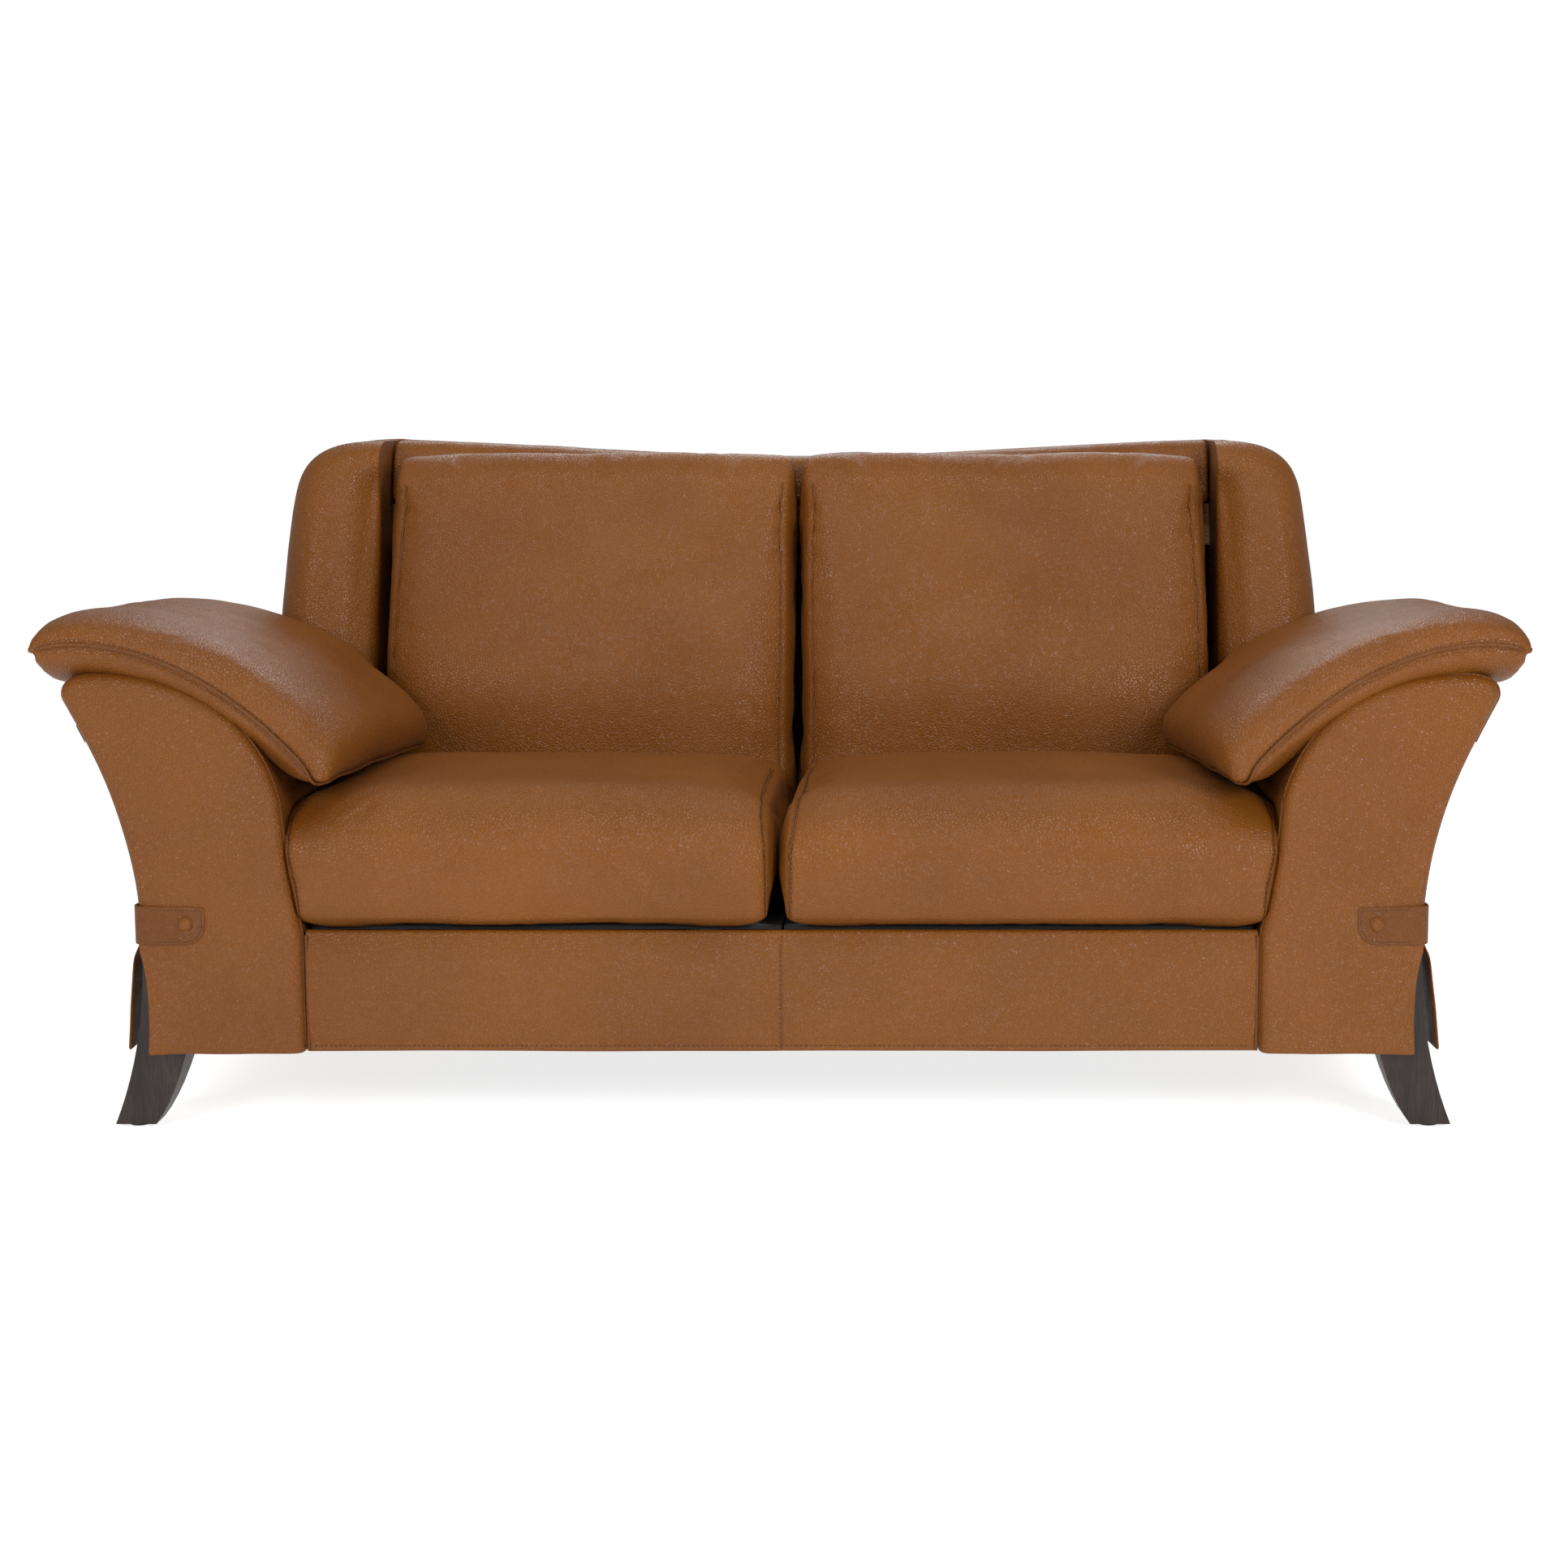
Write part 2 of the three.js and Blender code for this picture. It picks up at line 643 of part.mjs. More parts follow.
function outerBack() {
  const above = aboveArm(0.08);
  const outline = new THREE.Shape();
  outline.moveTo(armInner - softGap, hemHeight);
  outline.lineTo(armInner - softGap, above[0][1] - softGap);
  above.forEach(([x, z]) => outline.lineTo(x, z));
  outline.lineTo(wingFoot.x, wingFoot.y);
  wingEdge(outline);
  outline.lineTo(wingInner, backTop);
  crestEdge(outline, wingInner, backTop);
  outline.lineTo(-wingCorners[1][3].x, wingCorners[1][3].y);
  leftWingEdge(outline);
  above.reverse().forEach(([x, z]) => outline.lineTo(-x, z));
  outline.lineTo(softGap - armInner, above[above.length - 1][1] - softGap);
  outline.lineTo(softGap - armInner, hemHeight);
  return outline;
}

// ---------------------------------------------------------------- assembly
pair("arm_cover", armCover(), leather);
pair("arm_pad", armPad(), leather);
pair("arm_front_board", armBoard(boardInset), beech);
pair("arm_rear_board", lean(armBoard(backFoot - boardInset - boardThickness)), beech);
pair("arm_base_rail", armBaseRail(), beech);
pair("arm_top_board", armTopBoard(), beech);
corners("leg", leg(), darkWood);
corners("leg_bolt", legBolt(), steel);
corners("glide", glide(), felt);
pair("strap", strapFlap(), leather);
pair("button", strapButton(), leather);
seatFrame();
place("apron", apron(), leather);
pair("seat_deck", deck(), felt);
for (let i = 0; i < springsPerSeat; i++) {
  pair("spring_" + (i + 1), spring((armInner * (i + 0.5)) / springsPerSeat), steel);
}
pair("seat_cushion", seatCushion(), leather);
pair("back_cushion", backCushion(), leather);
back();

sofa.position.y = padOverhang - overallDepth / 2;

export default sofa;
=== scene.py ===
import json
import math

import bmesh
import bpy
import numpy as np
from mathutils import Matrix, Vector, noise
from mathutils.bvhtree import BVHTree


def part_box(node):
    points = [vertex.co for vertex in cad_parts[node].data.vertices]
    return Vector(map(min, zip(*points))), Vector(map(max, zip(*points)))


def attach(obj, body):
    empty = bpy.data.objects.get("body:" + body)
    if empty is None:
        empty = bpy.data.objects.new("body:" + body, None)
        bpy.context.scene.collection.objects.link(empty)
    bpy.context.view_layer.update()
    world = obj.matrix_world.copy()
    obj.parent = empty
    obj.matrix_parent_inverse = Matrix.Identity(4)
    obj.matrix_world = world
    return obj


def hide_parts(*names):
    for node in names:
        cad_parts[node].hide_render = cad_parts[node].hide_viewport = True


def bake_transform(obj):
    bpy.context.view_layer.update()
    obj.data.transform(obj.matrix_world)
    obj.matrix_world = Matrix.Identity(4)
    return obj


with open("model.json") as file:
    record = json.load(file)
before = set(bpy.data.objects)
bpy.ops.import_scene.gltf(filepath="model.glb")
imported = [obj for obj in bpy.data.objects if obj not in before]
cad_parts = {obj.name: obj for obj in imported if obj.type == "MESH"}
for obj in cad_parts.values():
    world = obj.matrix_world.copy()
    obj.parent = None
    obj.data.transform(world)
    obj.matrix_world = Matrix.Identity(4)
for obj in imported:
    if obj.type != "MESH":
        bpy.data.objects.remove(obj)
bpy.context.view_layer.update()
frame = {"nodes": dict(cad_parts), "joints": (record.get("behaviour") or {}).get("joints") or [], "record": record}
scene = bpy.context.scene
MM = 0.001

# ---- camera
camera_data = bpy.data.cameras.new("camera")
camera = bpy.data.objects.new("camera", camera_data)
scene.collection.objects.link(camera)
scene.camera = camera
scene.view_settings.view_transform = "Standard"
camera.location = (0.156, -4.040, 0.965)
camera.rotation_euler = (math.radians(90 - 7.9), 0, 0)  # looking 7.9 degrees downwards
camera_data.sensor_width = 36.0
camera_data.lens = 63.9
camera_data.shift_x = -0.074
camera_data.dof.use_dof = False

# ---- frame sizes, in mm, y from the front plane
BOARD_SETBACK = 15.0  # the arm's front board lies this far behind the front plane
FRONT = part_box("right_arm_front_board")[0][1] / MM - BOARD_SETBACK


def cad(node):
    low, high = (np.array(c, float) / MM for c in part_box(node))
    low[1] -= FRONT
    high[1] -= FRONT
    return low, high


arm_low, arm_high = cad("right_arm_cover")
INNER, CORNER = arm_low[0], arm_high[0]
HEM, ARM_TOP = arm_low[2], arm_high[2]
OUTER = cad("right_strap")[1][0]
SHOULDER = 440.0
RAKE = math.tan(math.radians(13.5))
FOOT = cad("back_outer_cover")[0][1] + 6.0
BACK_TOP = cad("back_outer_cover")[1][2]
WING_OUT = cad("right_wing")[1][0]
WING_IN = cad("right_wing")[0][0]
WING_DEPTH = 195.0
FACE = FOOT - 252.0  # front of the back cushion, at the height of the hem
SIDES = (("right", 1), ("left", -1))


def lean(p):
    p[..., 1] += (p[..., 2] - HEM) * RAKE
    return p


def step(a, b, v):
    t = np.clip((v - a) / (b - a), 0, 1)
    return t * t * (3 - 2 * t)


def bell(v, middle, width):
    return np.exp(-(((v - middle) / width) ** 2))


def bezier(points, count):
    t = np.linspace(0, 1, count)[:, None]
    pts = [np.array(p, float)[None] for p in points]
    while len(pts) > 1:
        pts = [a * (1 - t) + b * t for a, b in zip(pts, pts[1:])]
    return pts[0]


def spread(path, count, closed=False):
    """The path with that many evenly spaced points."""
    path = np.array(path, float)
    if closed:
        path = np.vstack([path, path[:1]])
    gaps = np.linalg.norm(np.diff(path, axis=0), axis=1)
    along = np.concatenate([[0], np.cumsum(gaps)])
    at = np.linspace(0, along[-1], count + 1)[:-1] if closed else np.linspace(0, along[-1], count)
    return np.stack([np.interp(at, along, path[:, k]) for k in range(path.shape[1])], 1)


def rounded(corners, count):
    """A closed outline through corners [a, b, cut-back], with each corner rounded."""
    pts = []
    n = len(corners)
    for i, (a, b, cut) in enumerate(corners):
        p = np.array([a, b], float)
        q, r = (np.array(corners[(i + k) % n][:2], float) - p for k in (-1, 1))
        lq, lr = np.linalg.norm(q), np.linalg.norm(r)
        back = min(cut, 0.49 * lq, 0.49 * lr)
        pts.extend(bezier([p + q / lq * back, p, p + r / lr * back], 9))
    return spread(pts, count, True)


def outward(loop):
    """Unit normals of a closed loop drawn anticlockwise."""
    t = np.roll(loop, -1, 0) - np.roll(loop, 1, 0)
    t /= np.linalg.norm(t, axis=1)[:, None] + 1e-9
    return np.stack([t[:, 1], -t[:, 0]], 1)


def to_edge(p, path):
    """Distance of each point of p to a polyline, all in 2-D."""
    a, b = path[:-1], path[1:]
    best = np.full(len(p), 1e9)
    for q, r in zip(a, b):
        e = r - q
        t = np.clip(((p - q) @ e) / (e @ e + 1e-9), 0, 1)
        best = np.minimum(best, np.linalg.norm(p - q - t[:, None] * e, axis=1))
    return best


# ---- meshes
def from_faces(name, verts, faces):
    mesh = bpy.data.meshes.new(name)
    mesh.from_pydata(verts, [], faces)
    return mesh


def add_object(name, mesh):
    mesh.shade_smooth()
    obj = bpy.data.objects.new(name, mesh)
    scene.collection.objects.link(obj)
    return obj


def build(name, parts, side=1, weld=0.02):
    """One mesh from (grid, wrap, caps): a grid (nu, nv, 3) in mm, closed round in v, capped at u's ends."""
    verts, faces = [], []
    for grid, wrap, caps in parts:
        nu, nv = grid.shape[:2]
        base = len(verts)
        verts.extend(grid.reshape(-1, 3).tolist())
        for i in range(nu - 1):
            for j in range(nv if wrap else nv - 1):
                k = (j + 1) % nv
                a, b = base + i * nv, base + (i + 1) * nv
                faces.append((a + j, b + j, b + k, a + k))
        if caps:
            faces.append([base + j for j in range(nv)])
            faces.append([base + (nu - 1) * nv + j for j in reversed(range(nv))])
    p = np.array(verts)
    p[:, 0] *= side
    p[:, 1] += FRONT
    mesh = from_faces(name, (p * MM).tolist(), faces)
    bm = bmesh.new()
    bm.from_mesh(mesh)
    bmesh.ops.remove_doubles(bm, verts=bm.verts, dist=weld * MM)
    bmesh.ops.recalc_face_normals(bm, faces=bm.faces)
    bm.to_mesh(mesh)
    bm.free()
    return add_object(name, mesh)


def coordinates(obj):
    p = np.empty(len(obj.data.vertices) * 3)
    obj.data.vertices.foreach_get("co", p)
    p = p.reshape(-1, 3) / MM
    p[:, 1] -= FRONT
    return p


def set_coordinates(obj, p):
    q = p.copy()
    q[:, 1] += FRONT
    obj.data.vertices.foreach_set("co", (q * MM).ravel())
    obj.data.update()


def vertex_normals(obj):
    n = np.empty(len(obj.data.vertices) * 3)
    obj.data.vertices.foreach_get("normal", n)
    return n.reshape(-1, 3)


def uneven(obj, size, amount, seed=0.0):
    """Slow, soft unevenness of stuffed leather, along the normals."""
    p, n = coordinates(obj), vertex_normals(obj)
    at = p / size + seed
    lift = np.array([noise.noise(Vector(v)) for v in at])
    set_coordinates(obj, p + n * (lift * amount)[:, None])


def crease(obj, lines):
    """Folds: each line is (start, end, half width, depth), pressed in with a small roll on each side."""
    p, n = coordinates(obj), vertex_normals(obj)
    lift = np.zeros(len(p))
    for a, b, width, depth in lines:
        a, b = np.array(a, float), np.array(b, float)
        e = b - a
        t = np.clip(((p - a) @ e) / (e @ e), 0, 1)
        d = np.linalg.norm(p - a - t[:, None] * e, axis=1)
        ends = np.sin(np.pi * np.clip(t, 0.02, 0.98)) ** 0.7
        lift += depth * ends * (0.45 * bell(d, 2.1 * width, 0.9 * width) - bell(d, 0, width))
    set_coordinates(obj, p + n * lift[:, None])


def apply_modifiers(obj):
    graph = bpy.context.evaluated_depsgraph_get()
    graph.update()
    mesh = bpy.data.meshes.new_from_object(obj.evaluated_get(graph))
    obj.modifiers.clear()
    old = obj.data
    obj.data = mesh
    bpy.data.meshes.remove(old)
    obj.data.shade_smooth()


def settle(obj, cap, voxel=10.0, pressure=4.0, frames=14):
    """Fills the closed cover like a cushion, as cloth, with each point kept within cap mm of its start."""
    low, high = coordinates(obj).min(0), coordinates(obj).max(0)
    remesh = obj.modifiers.new("remesh", "REMESH")
    remesh.mode = "VOXEL"
    remesh.voxel_size = voxel * MM
    apply_modifiers(obj)
    start = coordinates(obj)
    cloth = obj.modifiers.new("cloth", "CLOTH")
    cloth.settings.quality = 4
    cloth.settings.mass = 0.35
    cloth.settings.tension_stiffness = cloth.settings.compression_stiffness = 12
    cloth.settings.shear_stiffness = 6
    cloth.settings.bending_stiffness = 0.8
    cloth.settings.use_pressure = True
    cloth.settings.uniform_pressure_force = pressure
    cloth.settings.effector_weights.gravity = 0
    cloth.collision_settings.use_collision = False
    cloth.point_cache.frame_start = 1
    cloth.point_cache.frame_end = frames
    for f in range(1, frames + 1):
        scene.frame_set(f)
    apply_modifiers(obj)
    scene.frame_set(1)
    moved = coordinates(obj) - start
    size = np.linalg.norm(moved, axis=1)[:, None] + 1e-9
    p = start + moved / size * cap * np.tanh(size / cap)
    set_coordinates(obj, low + (p - p.min(0)) * (high - low) / (p.max(0) - p.min(0)))


def groove(obj, lines, width, depth):
    """Presses a seam into the finished mesh along lines of world points."""
    p, n = coordinates(obj), vertex_normals(obj)
    lift = np.zeros(len(p))
    for points in lines:
        q = np.array([tuple(v / MM) for v in points]) - [0, FRONT, 0]
        q = spread(q, 3 * len(q))
        low, high = q.min(0) - 3 * width, q.max(0) + 3 * width
        near = np.where(((p > low) & (p < high)).all(1))[0]
        d = np.full(len(near), 1e9)
        for chunk in np.array_split(q, max(1, len(q) // 60)):
            d = np.minimum(d, np.linalg.norm(p[near, None] - chunk[None], axis=2).min(1))
        lift[near] = np.minimum(lift[near], -depth * bell(d, 0, width))
    set_coordinates(obj, p + n * lift[:, None])


def smooth(obj, levels=1):
    mod = obj.modifiers.new("smooth", "SUBSURF")
    mod.levels = mod.render_levels = levels
    mod.use_limit_surface = False


def thicken(obj, thickness):
    mod = obj.modifiers.new("thickness", "SOLIDIFY")
    mod.thickness = thickness * MM
    mod.offset = 0


def surface_of(obj):
    graph = bpy.context.evaluated_depsgraph_get()
    graph.update()
    shown = obj.evaluated_get(graph)
    mesh = shown.to_mesh()
    faces = [tuple(f.vertices) for f in mesh.polygons]
    tree = BVHTree.FromPolygons([v.co.copy() for v in mesh.vertices], faces)
    shown.to_mesh_clear()
    return tree


def on_surface(tree, path, side=1, lift=0.3):
    """Points of a path (mm) laid on a surface, and the surface's normals there."""
    placed, normals = [], []
    for x, y, z in path:
        hit, normal, _, _ = tree.find_nearest(Vector((x * side, y + FRONT, z)) * MM)
        placed.append(hit + normal * lift * MM)
        normals.append(normal)
    return placed, normals


def tube(name, points, radius, rings=8, closed=False):
    """A round tube along points (world, metres)."""
    verts, faces = [], []
    n = len(points)
    up = Vector((0, 0, 1))
    for i, p in enumerate(points):
        a = points[(i - 1) % n] if closed or i else p
        b = points[(i + 1) % n] if closed or i < n - 1 else p
        t = (b - a).normalized()
        side = t.cross(up)
        if side.length < 0.2:
            side = t.cross(Vector((0, 1, 0)))
        side.normalize()
        top = side.cross(t)
        for k in range(rings):
            angle = 2 * math.pi * k / rings
            verts.append(p + (side * math.cos(angle) + top * math.sin(angle)) * radius * MM)
    for i in range(n if closed else n - 1):
        for k in range(rings):
            a, b = i * rings, ((i + 1) % n) * rings
            faces.append((a + k, a + (k + 1) % rings, b + (k + 1) % rings, b + k))
    if not closed:
        faces += [list(range(rings))[::-1], [(n - 1) * rings + k for k in range(rings)]]
    return add_object(name, from_faces(name, verts, faces))


def sample(along, values, at):
    return np.array([np.interp(at, along, values[:, k]) for k in range(3)])


def stitches(name, runs, pitch=6.5, length=4.4, radius=0.5):
    """Thread along runs of (points, normals), each stitch a small rounded bead pressed into the leather."""
    verts, faces = [], []
    for points, normals in runs:
        p = np.array([tuple(q) for q in points])
        m = np.array([tuple(q) for q in normals])
        gaps = np.linalg.norm(np.diff(p, axis=0), axis=1)
        along = np.concatenate([[0], np.cumsum(gaps)])

        for i in range(int(along[-1] / (pitch * MM))):
            at = (i + 0.5) * pitch * MM
            c = Vector(sample(along, p, at))
            d = Vector(sample(along, p, at + MM) - sample(along, p, at - MM))
            up = Vector(sample(along, m, at)).normalized()
            d.normalize()
            across = d.cross(up).normalized()
            base = len(verts)
            for s, r in ((-0.5, 0.35), (-0.3, 1), (0.3, 1), (0.5, 0.35)):
                for k in range(6):
                    a = k * math.pi / 3
                    turn = across * math.cos(a) + up * math.sin(a)
                    verts.append(c + d * s * length * MM + turn * radius * r * MM)
            for j in range(3):
                for k in range(6):
                    q = base + j * 6
                    faces.append((q + k, q + (k + 1) % 6, q + 6 + (k + 1) % 6, q + 6 + k))
            faces.append([base + k for k in reversed(range(6))])
            faces.append([base + 18 + k for k in range(6)])
    return add_object(name, from_faces(name, verts, faces))


# ---- materials
def material(name, roughness, metallic=0.0, **sockets):
    m = bpy.data.materials.new(name)
    m.use_nodes = True
    nodes = m.node_tree.nodes
    inputs = nodes["Principled BSDF"].inputs
    inputs["Roughness"].default_value = roughness
    inputs["Metallic"].default_value = metallic
    for key, value in sockets.items():
        inputs[key.replace("_", " ")].default_value = value
    return m, inputs, nodes.new("ShaderNodeTexCoord").outputs["Object"]


def srgb(r, g, b):
    low = 10  # the curve is a straight line up to here
    return tuple(((c / 255 + 0.055) / 1.055) ** 2.4 if c > low else c / 255 / 12.92 for c in (r, g, b)) + (1.0,)


def grey(value):
    return (value, value, value, 1.0)


def dimmed(colour, share):
    return tuple(c * share for c in colour[:3]) + (1.0,)


def new_node(socket, kind):
    return socket.id_data.nodes.new(kind)


def plug(value, socket):
    """Links an output to an input, or sets the input to a plain value."""
    if isinstance(value, bpy.types.NodeSocket):
        socket.id_data.links.new(value, socket)
    else:
        socket.default_value = value


def noise_of(where, scale, detail=3.0, rough=0.5, output="Fac"):
    n = new_node(where, "ShaderNodeTexNoise")
    n.inputs["Scale"].default_value = scale
    n.inputs["Detail"].default_value = detail
    n.inputs["Roughness"].default_value = rough
    plug(where, n.inputs["Vector"])
    return n.outputs[output]


def ramp(value, stops):
    r = new_node(value, "ShaderNodeValToRGB")
    while len(r.color_ramp.elements) < len(stops):
        r.color_ramp.elements.new(0.5)
    for e, (at, colour) in zip(r.color_ramp.elements, stops):
        e.position = at
        e.color = colour
    plug(value, r.inputs["Fac"])
    return r.outputs["Color"]


def mix(factor, a, b):
    m = new_node(next(v for v in (factor, a, b) if isinstance(v, bpy.types.NodeSocket)), "ShaderNodeMix")
    m.data_type = "RGBA"
    for i, value in ((0, factor), (6, a), (7, b)):
        plug(value, m.inputs[i])
    return m.outputs[2]


def bump(height, strength, distance, normal=None):
    b = new_node(height, "ShaderNodeBump")
    b.inputs["Strength"].default_value = strength
    b.inputs["Distance"].default_value = distance
    plug(height, b.inputs["Height"])
    if normal is not None:
        plug(normal, b.inputs["Normal"])
    return b.outputs["Normal"]


def product(a, b):
    m = new_node(a, "ShaderNodeMath")
    m.operation = "MULTIPLY"
    plug(a, m.inputs[0])
    plug(b, m.inputs[1])
    return m.outputs[0]


def leather_material(name, dark, light, grain=235.0):
    m, inputs, where = material(name, 0.5, Specular_IOR_Level=0.34, Sheen_Weight=0.03)
    inputs["Sheen Roughness"].default_value = 0.45
    inputs["Sheen Tint"].default_value = srgb(232, 205, 185)
    colour = ramp(noise_of(where, 4.2, 3.0, 0.55), [(0.3, dark), (0.7, light)])
    bent = new_node(where, "ShaderNodeVectorMath")
    bent.operation = "MULTIPLY_ADD"
    plug(noise_of(where, 90.0, 2.0, output="Color"), bent.inputs[0])
    bent.inputs[1].default_value = (0.0022,) * 3
    plug(where, bent.inputs[2])
    cells = new_node(where, "ShaderNodeTexVoronoi")
    cells.feature = "DISTANCE_TO_EDGE"
    cells.inputs["Scale"].default_value = grain
    plug(bent.outputs[0], cells.inputs["Vector"])
    pebble = ramp(cells.outputs["Distance"], [(0.0, grey(0)), (0.22, grey(1))])
    amount = ramp(noise_of(where, 11.0, 2.0), [(0.35, grey(0.7)), (0.7, grey(1))])
    # The creases between the pebbles are painted darker than the leather round them: painted shade in the grain's
    # recesses.
    valley = mix(0.26, colour, dimmed(dark, 0.45))
    plug(mix(pebble, valley, colour), inputs["Base Color"])
    plug(ramp(noise_of(where, 26.0), [(0.3, grey(0.33)), (0.75, grey(0.45))]), inputs["Roughness"])
    normal = bump(product(pebble, amount), 0.55, 0.0013)
    normal = bump(noise_of(where, 900.0, 2.0), 0.12, 0.0003, normal)
    plug(bump(noise_of(where, 38.0, 4.0, 0.6), 0.1, 0.004, normal), inputs["Normal"])
    return m


def wood_material(name, dark, light, roughness, along=(1, 1, 0.08), scale=60.0):
    m, inputs, where = material(name, roughness, Specular_IOR_Level=0.45)
    stretch = new_node(where, "ShaderNodeMapping")
    stretch.inputs["Scale"].default_value = along
    plug(where, stretch.inputs["Vector"])
    colour = ramp(noise_of(stretch.outputs[0], scale, 6.0, 0.65), [(0.35, dark), (0.65, light)])
    pores = noise_of(stretch.outputs[0], scale * 7, 2.0)
    pore = ramp(pores, [(0.4, grey(0.6)), (0.52, grey(0))])
    plug(mix(pore, colour, dimmed(dark, 0.5)), inputs["Base Color"])
    plug(bump(pores, 0.12, 0.0005), inputs["Normal"])
    return m


def cloth_material(name, dark, light, scale):
    m, inputs, where = material(name, 0.92, Sheen_Weight=0.2)
    weave = []
    for direction in ("X", "Y"):
        w = new_node(where, "ShaderNodeTexWave")
        w.bands_direction = direction
        w.inputs["Scale"].default_value = scale
        w.inputs["Distortion"].default_value = 0.6
        plug(where, w.inputs["Vector"])
        weave.append(w.outputs["Fac"])
    plug(ramp(noise_of(where, scale * 3), [(0.3, dark), (0.7, light)]), inputs["Base Color"])
    plug(bump(product(*weave), 0.3, 0.0006), inputs["Normal"])
    return m


def metal_material(name, colour, roughness):
    m, inputs, where = material(name, roughness, 1.0)
    grime = noise_of(where, 120.0, 4.0)
    plug(ramp(grime, [(0.3, dimmed(colour, 0.8)), (0.7, colour)]), inputs["Base Color"])
    plug(bump(grime, 0.05, 0.0003), inputs["Normal"])
    return m


LEATHER = leather_material("leather_cognac", srgb(120, 66, 8), srgb(132, 76, 13))
EDGE = leather_material("leather_piping", srgb(108, 58, 7), srgb(119, 67, 10), 300.0)
THREAD, inputs, where = material("thread_brown", 0.6)
plug(ramp(noise_of(where, 300.0), [(0.3, srgb(62, 33, 12)), (0.7, srgb(76, 42, 17))]), inputs["Base Color"])
WENGE = wood_material("wenge_stained_wood", srgb(30, 20, 17), srgb(58, 42, 36), 0.34)
BEECH = wood_material("planed_beech", srgb(184, 140, 92), srgb(208, 166, 116), 0.65, (0.08, 1, 1))
FELT = cloth_material("grey_felt", srgb(48, 48, 50), srgb(66, 66, 68), 700.0)
WEB = cloth_material("black_webbing", srgb(34, 34, 36), srgb(52, 52, 54), 900.0)
LINING = cloth_material("black_lining", srgb(30, 27, 25), srgb(44, 40, 37), 1400.0)
STEEL = metal_material("zinc_plated_steel", srgb(176, 178, 182), 0.32)
BY_SLOT = {
    "leather": LEATHER,
    "dark_wood": WENGE,
    "frame_wood": BEECH,
    "steel": STEEL,
    "felt": FELT,
    "webbing": WEB,
    "lining": LINING,
}
slots = {s["node"]: s["material_slot"] for s in frame["record"]["subparts"]}
for node, obj in frame["nodes"].items():
    obj.data.materials.clear()
    obj.data.materials.append(BY_SLOT[slots[node]])


def finish(obj, look, body, node=None):
    obj.data.materials.append(look)
    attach(obj, body)
    if node:
        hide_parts(*([node] if isinstance(node, str) else node))
    return obj


FRAME = "sofa_frame"

# ---- arms
SLIT = 243.0  # top of the open corner, under the strap
BELT = SLIT + 19.0  # height where the corner is whole again
ROLL = 13.0  # radius of the arm's front edge
SHOULDER_X = INNER + 25
TOP_END, OUTER_START = (CORNER - 46, ARM_TOP), (CORNER, ARM_TOP - 29)
inner_curve = bezier([(INNER, 265), (INNER + 18, 340), (SHOULDER_X, SHOULDER)], 24)
top_curve = bezier([(SHOULDER_X, SHOULDER), (INNER + 41, 515), (OUTER - 110, ARM_TOP - 3), TOP_END], 40)
corner_curve = bezier([TOP_END, (CORNER + 4, ARM_TOP), OUTER_START], 21)
outer_curve = bezier([OUTER_START, (OUTER + 1, 410), (OUTER, 280)], 40)


def rear_plane(z):
    return FOOT + (z - HEM) * RAKE


def arm_edges():
    """The two long edges of the arm's front, from hem to corner, with the same count of points each."""
    heights = np.linspace(HEM, SLIT, 16)[:-1], np.linspace(SLIT, BELT, 5)[:-1], np.linspace(BELT, SHOULDER, 20)
    low = np.concatenate(heights)
    up_inner = np.vstack([[(INNER, HEM)], inner_curve])
    left = np.stack([np.interp(low, up_inner[:, 1], up_inner[:, 0]), low], 1)
    down = outer_curve[::-1]
    x = np.interp(low, down[:, 1], down[:, 0])
    right = np.stack([x, low], 1)
    count = 46
    left_high = spread(np.vstack([top_curve, corner_curve[1:11]]), count)[1:]
    above = outer_curve[outer_curve[:, 1] > SHOULDER]
    right_high = spread(np.vstack([right[-1:], above[::-1], corner_curve[::-1][1:11]]), count)[1:]
    return np.vstack([left, left_high]), np.vstack([right, right_high])


def slit_edge(right):
    """The front panel's free edge beside the open corner."""
    curve = bezier([(OUTER - 9, HEM), (OUTER - 16, 190), (OUTER, SLIT)], 30)
    cut = right.copy()
    below = cut[:, 1] < SLIT
    cut[below, 0] = np.interp(cut[below, 1], curve[:, 1], curve[:, 0])
    return cut


def skirt_edge(right):
    """The side of the arm below the strap hangs free and stands out from the leg."""
    zs = [HEM, HEM + 3, SLIT - 78, SLIT - 12, SLIT + 14]
    out = [27, 27, 21.6, 12.7, 0]
    made = right.copy()
    low = made[:, 1] < zs[-1]
    made[low, 0] += np.interp(made[low, 1], zs, out)
    return made


# stations across a panel, close together at its rolled edges
ACROSS = [0, 0.008, 0.02, 0.035, 0.055, 0.09, 0.14, 0.21, 0.3, 0.4, 0.5]
ACROSS = np.array(ACROSS + [0.6, 0.7, 0.79, 0.86, 0.91, 0.945, 0.965, 0.98, 0.992, 1])


def panel(left, right, free):
    """A front or rear face between two edges: its depth is about 0 on the face and ROLL at the rolled edges."""
    grid = left[:, None] * (1 - ACROSS[None, :, None]) + right[:, None] * ACROSS[None, :, None]
    flat = grid.reshape(-1, 2)
    d_left = to_edge(flat, left)
    d_right = to_edge(flat, right[right[:, 1] >= (SLIT if free else 0)])
    z = flat[:, 1]
    near = np.minimum(d_left, d_right + (60 * (1 - step(SLIT, BELT, z)) if free else 0))
    e = np.clip(ROLL - near, 0, ROLL)
    depth = ROLL - np.sqrt(ROLL**2 - e**2)
    depth -= 3.0 * (1 - np.exp(-near / 40))
    return np.dstack([grid[..., 0], depth.reshape(grid.shape[:2]), grid[..., 1]])


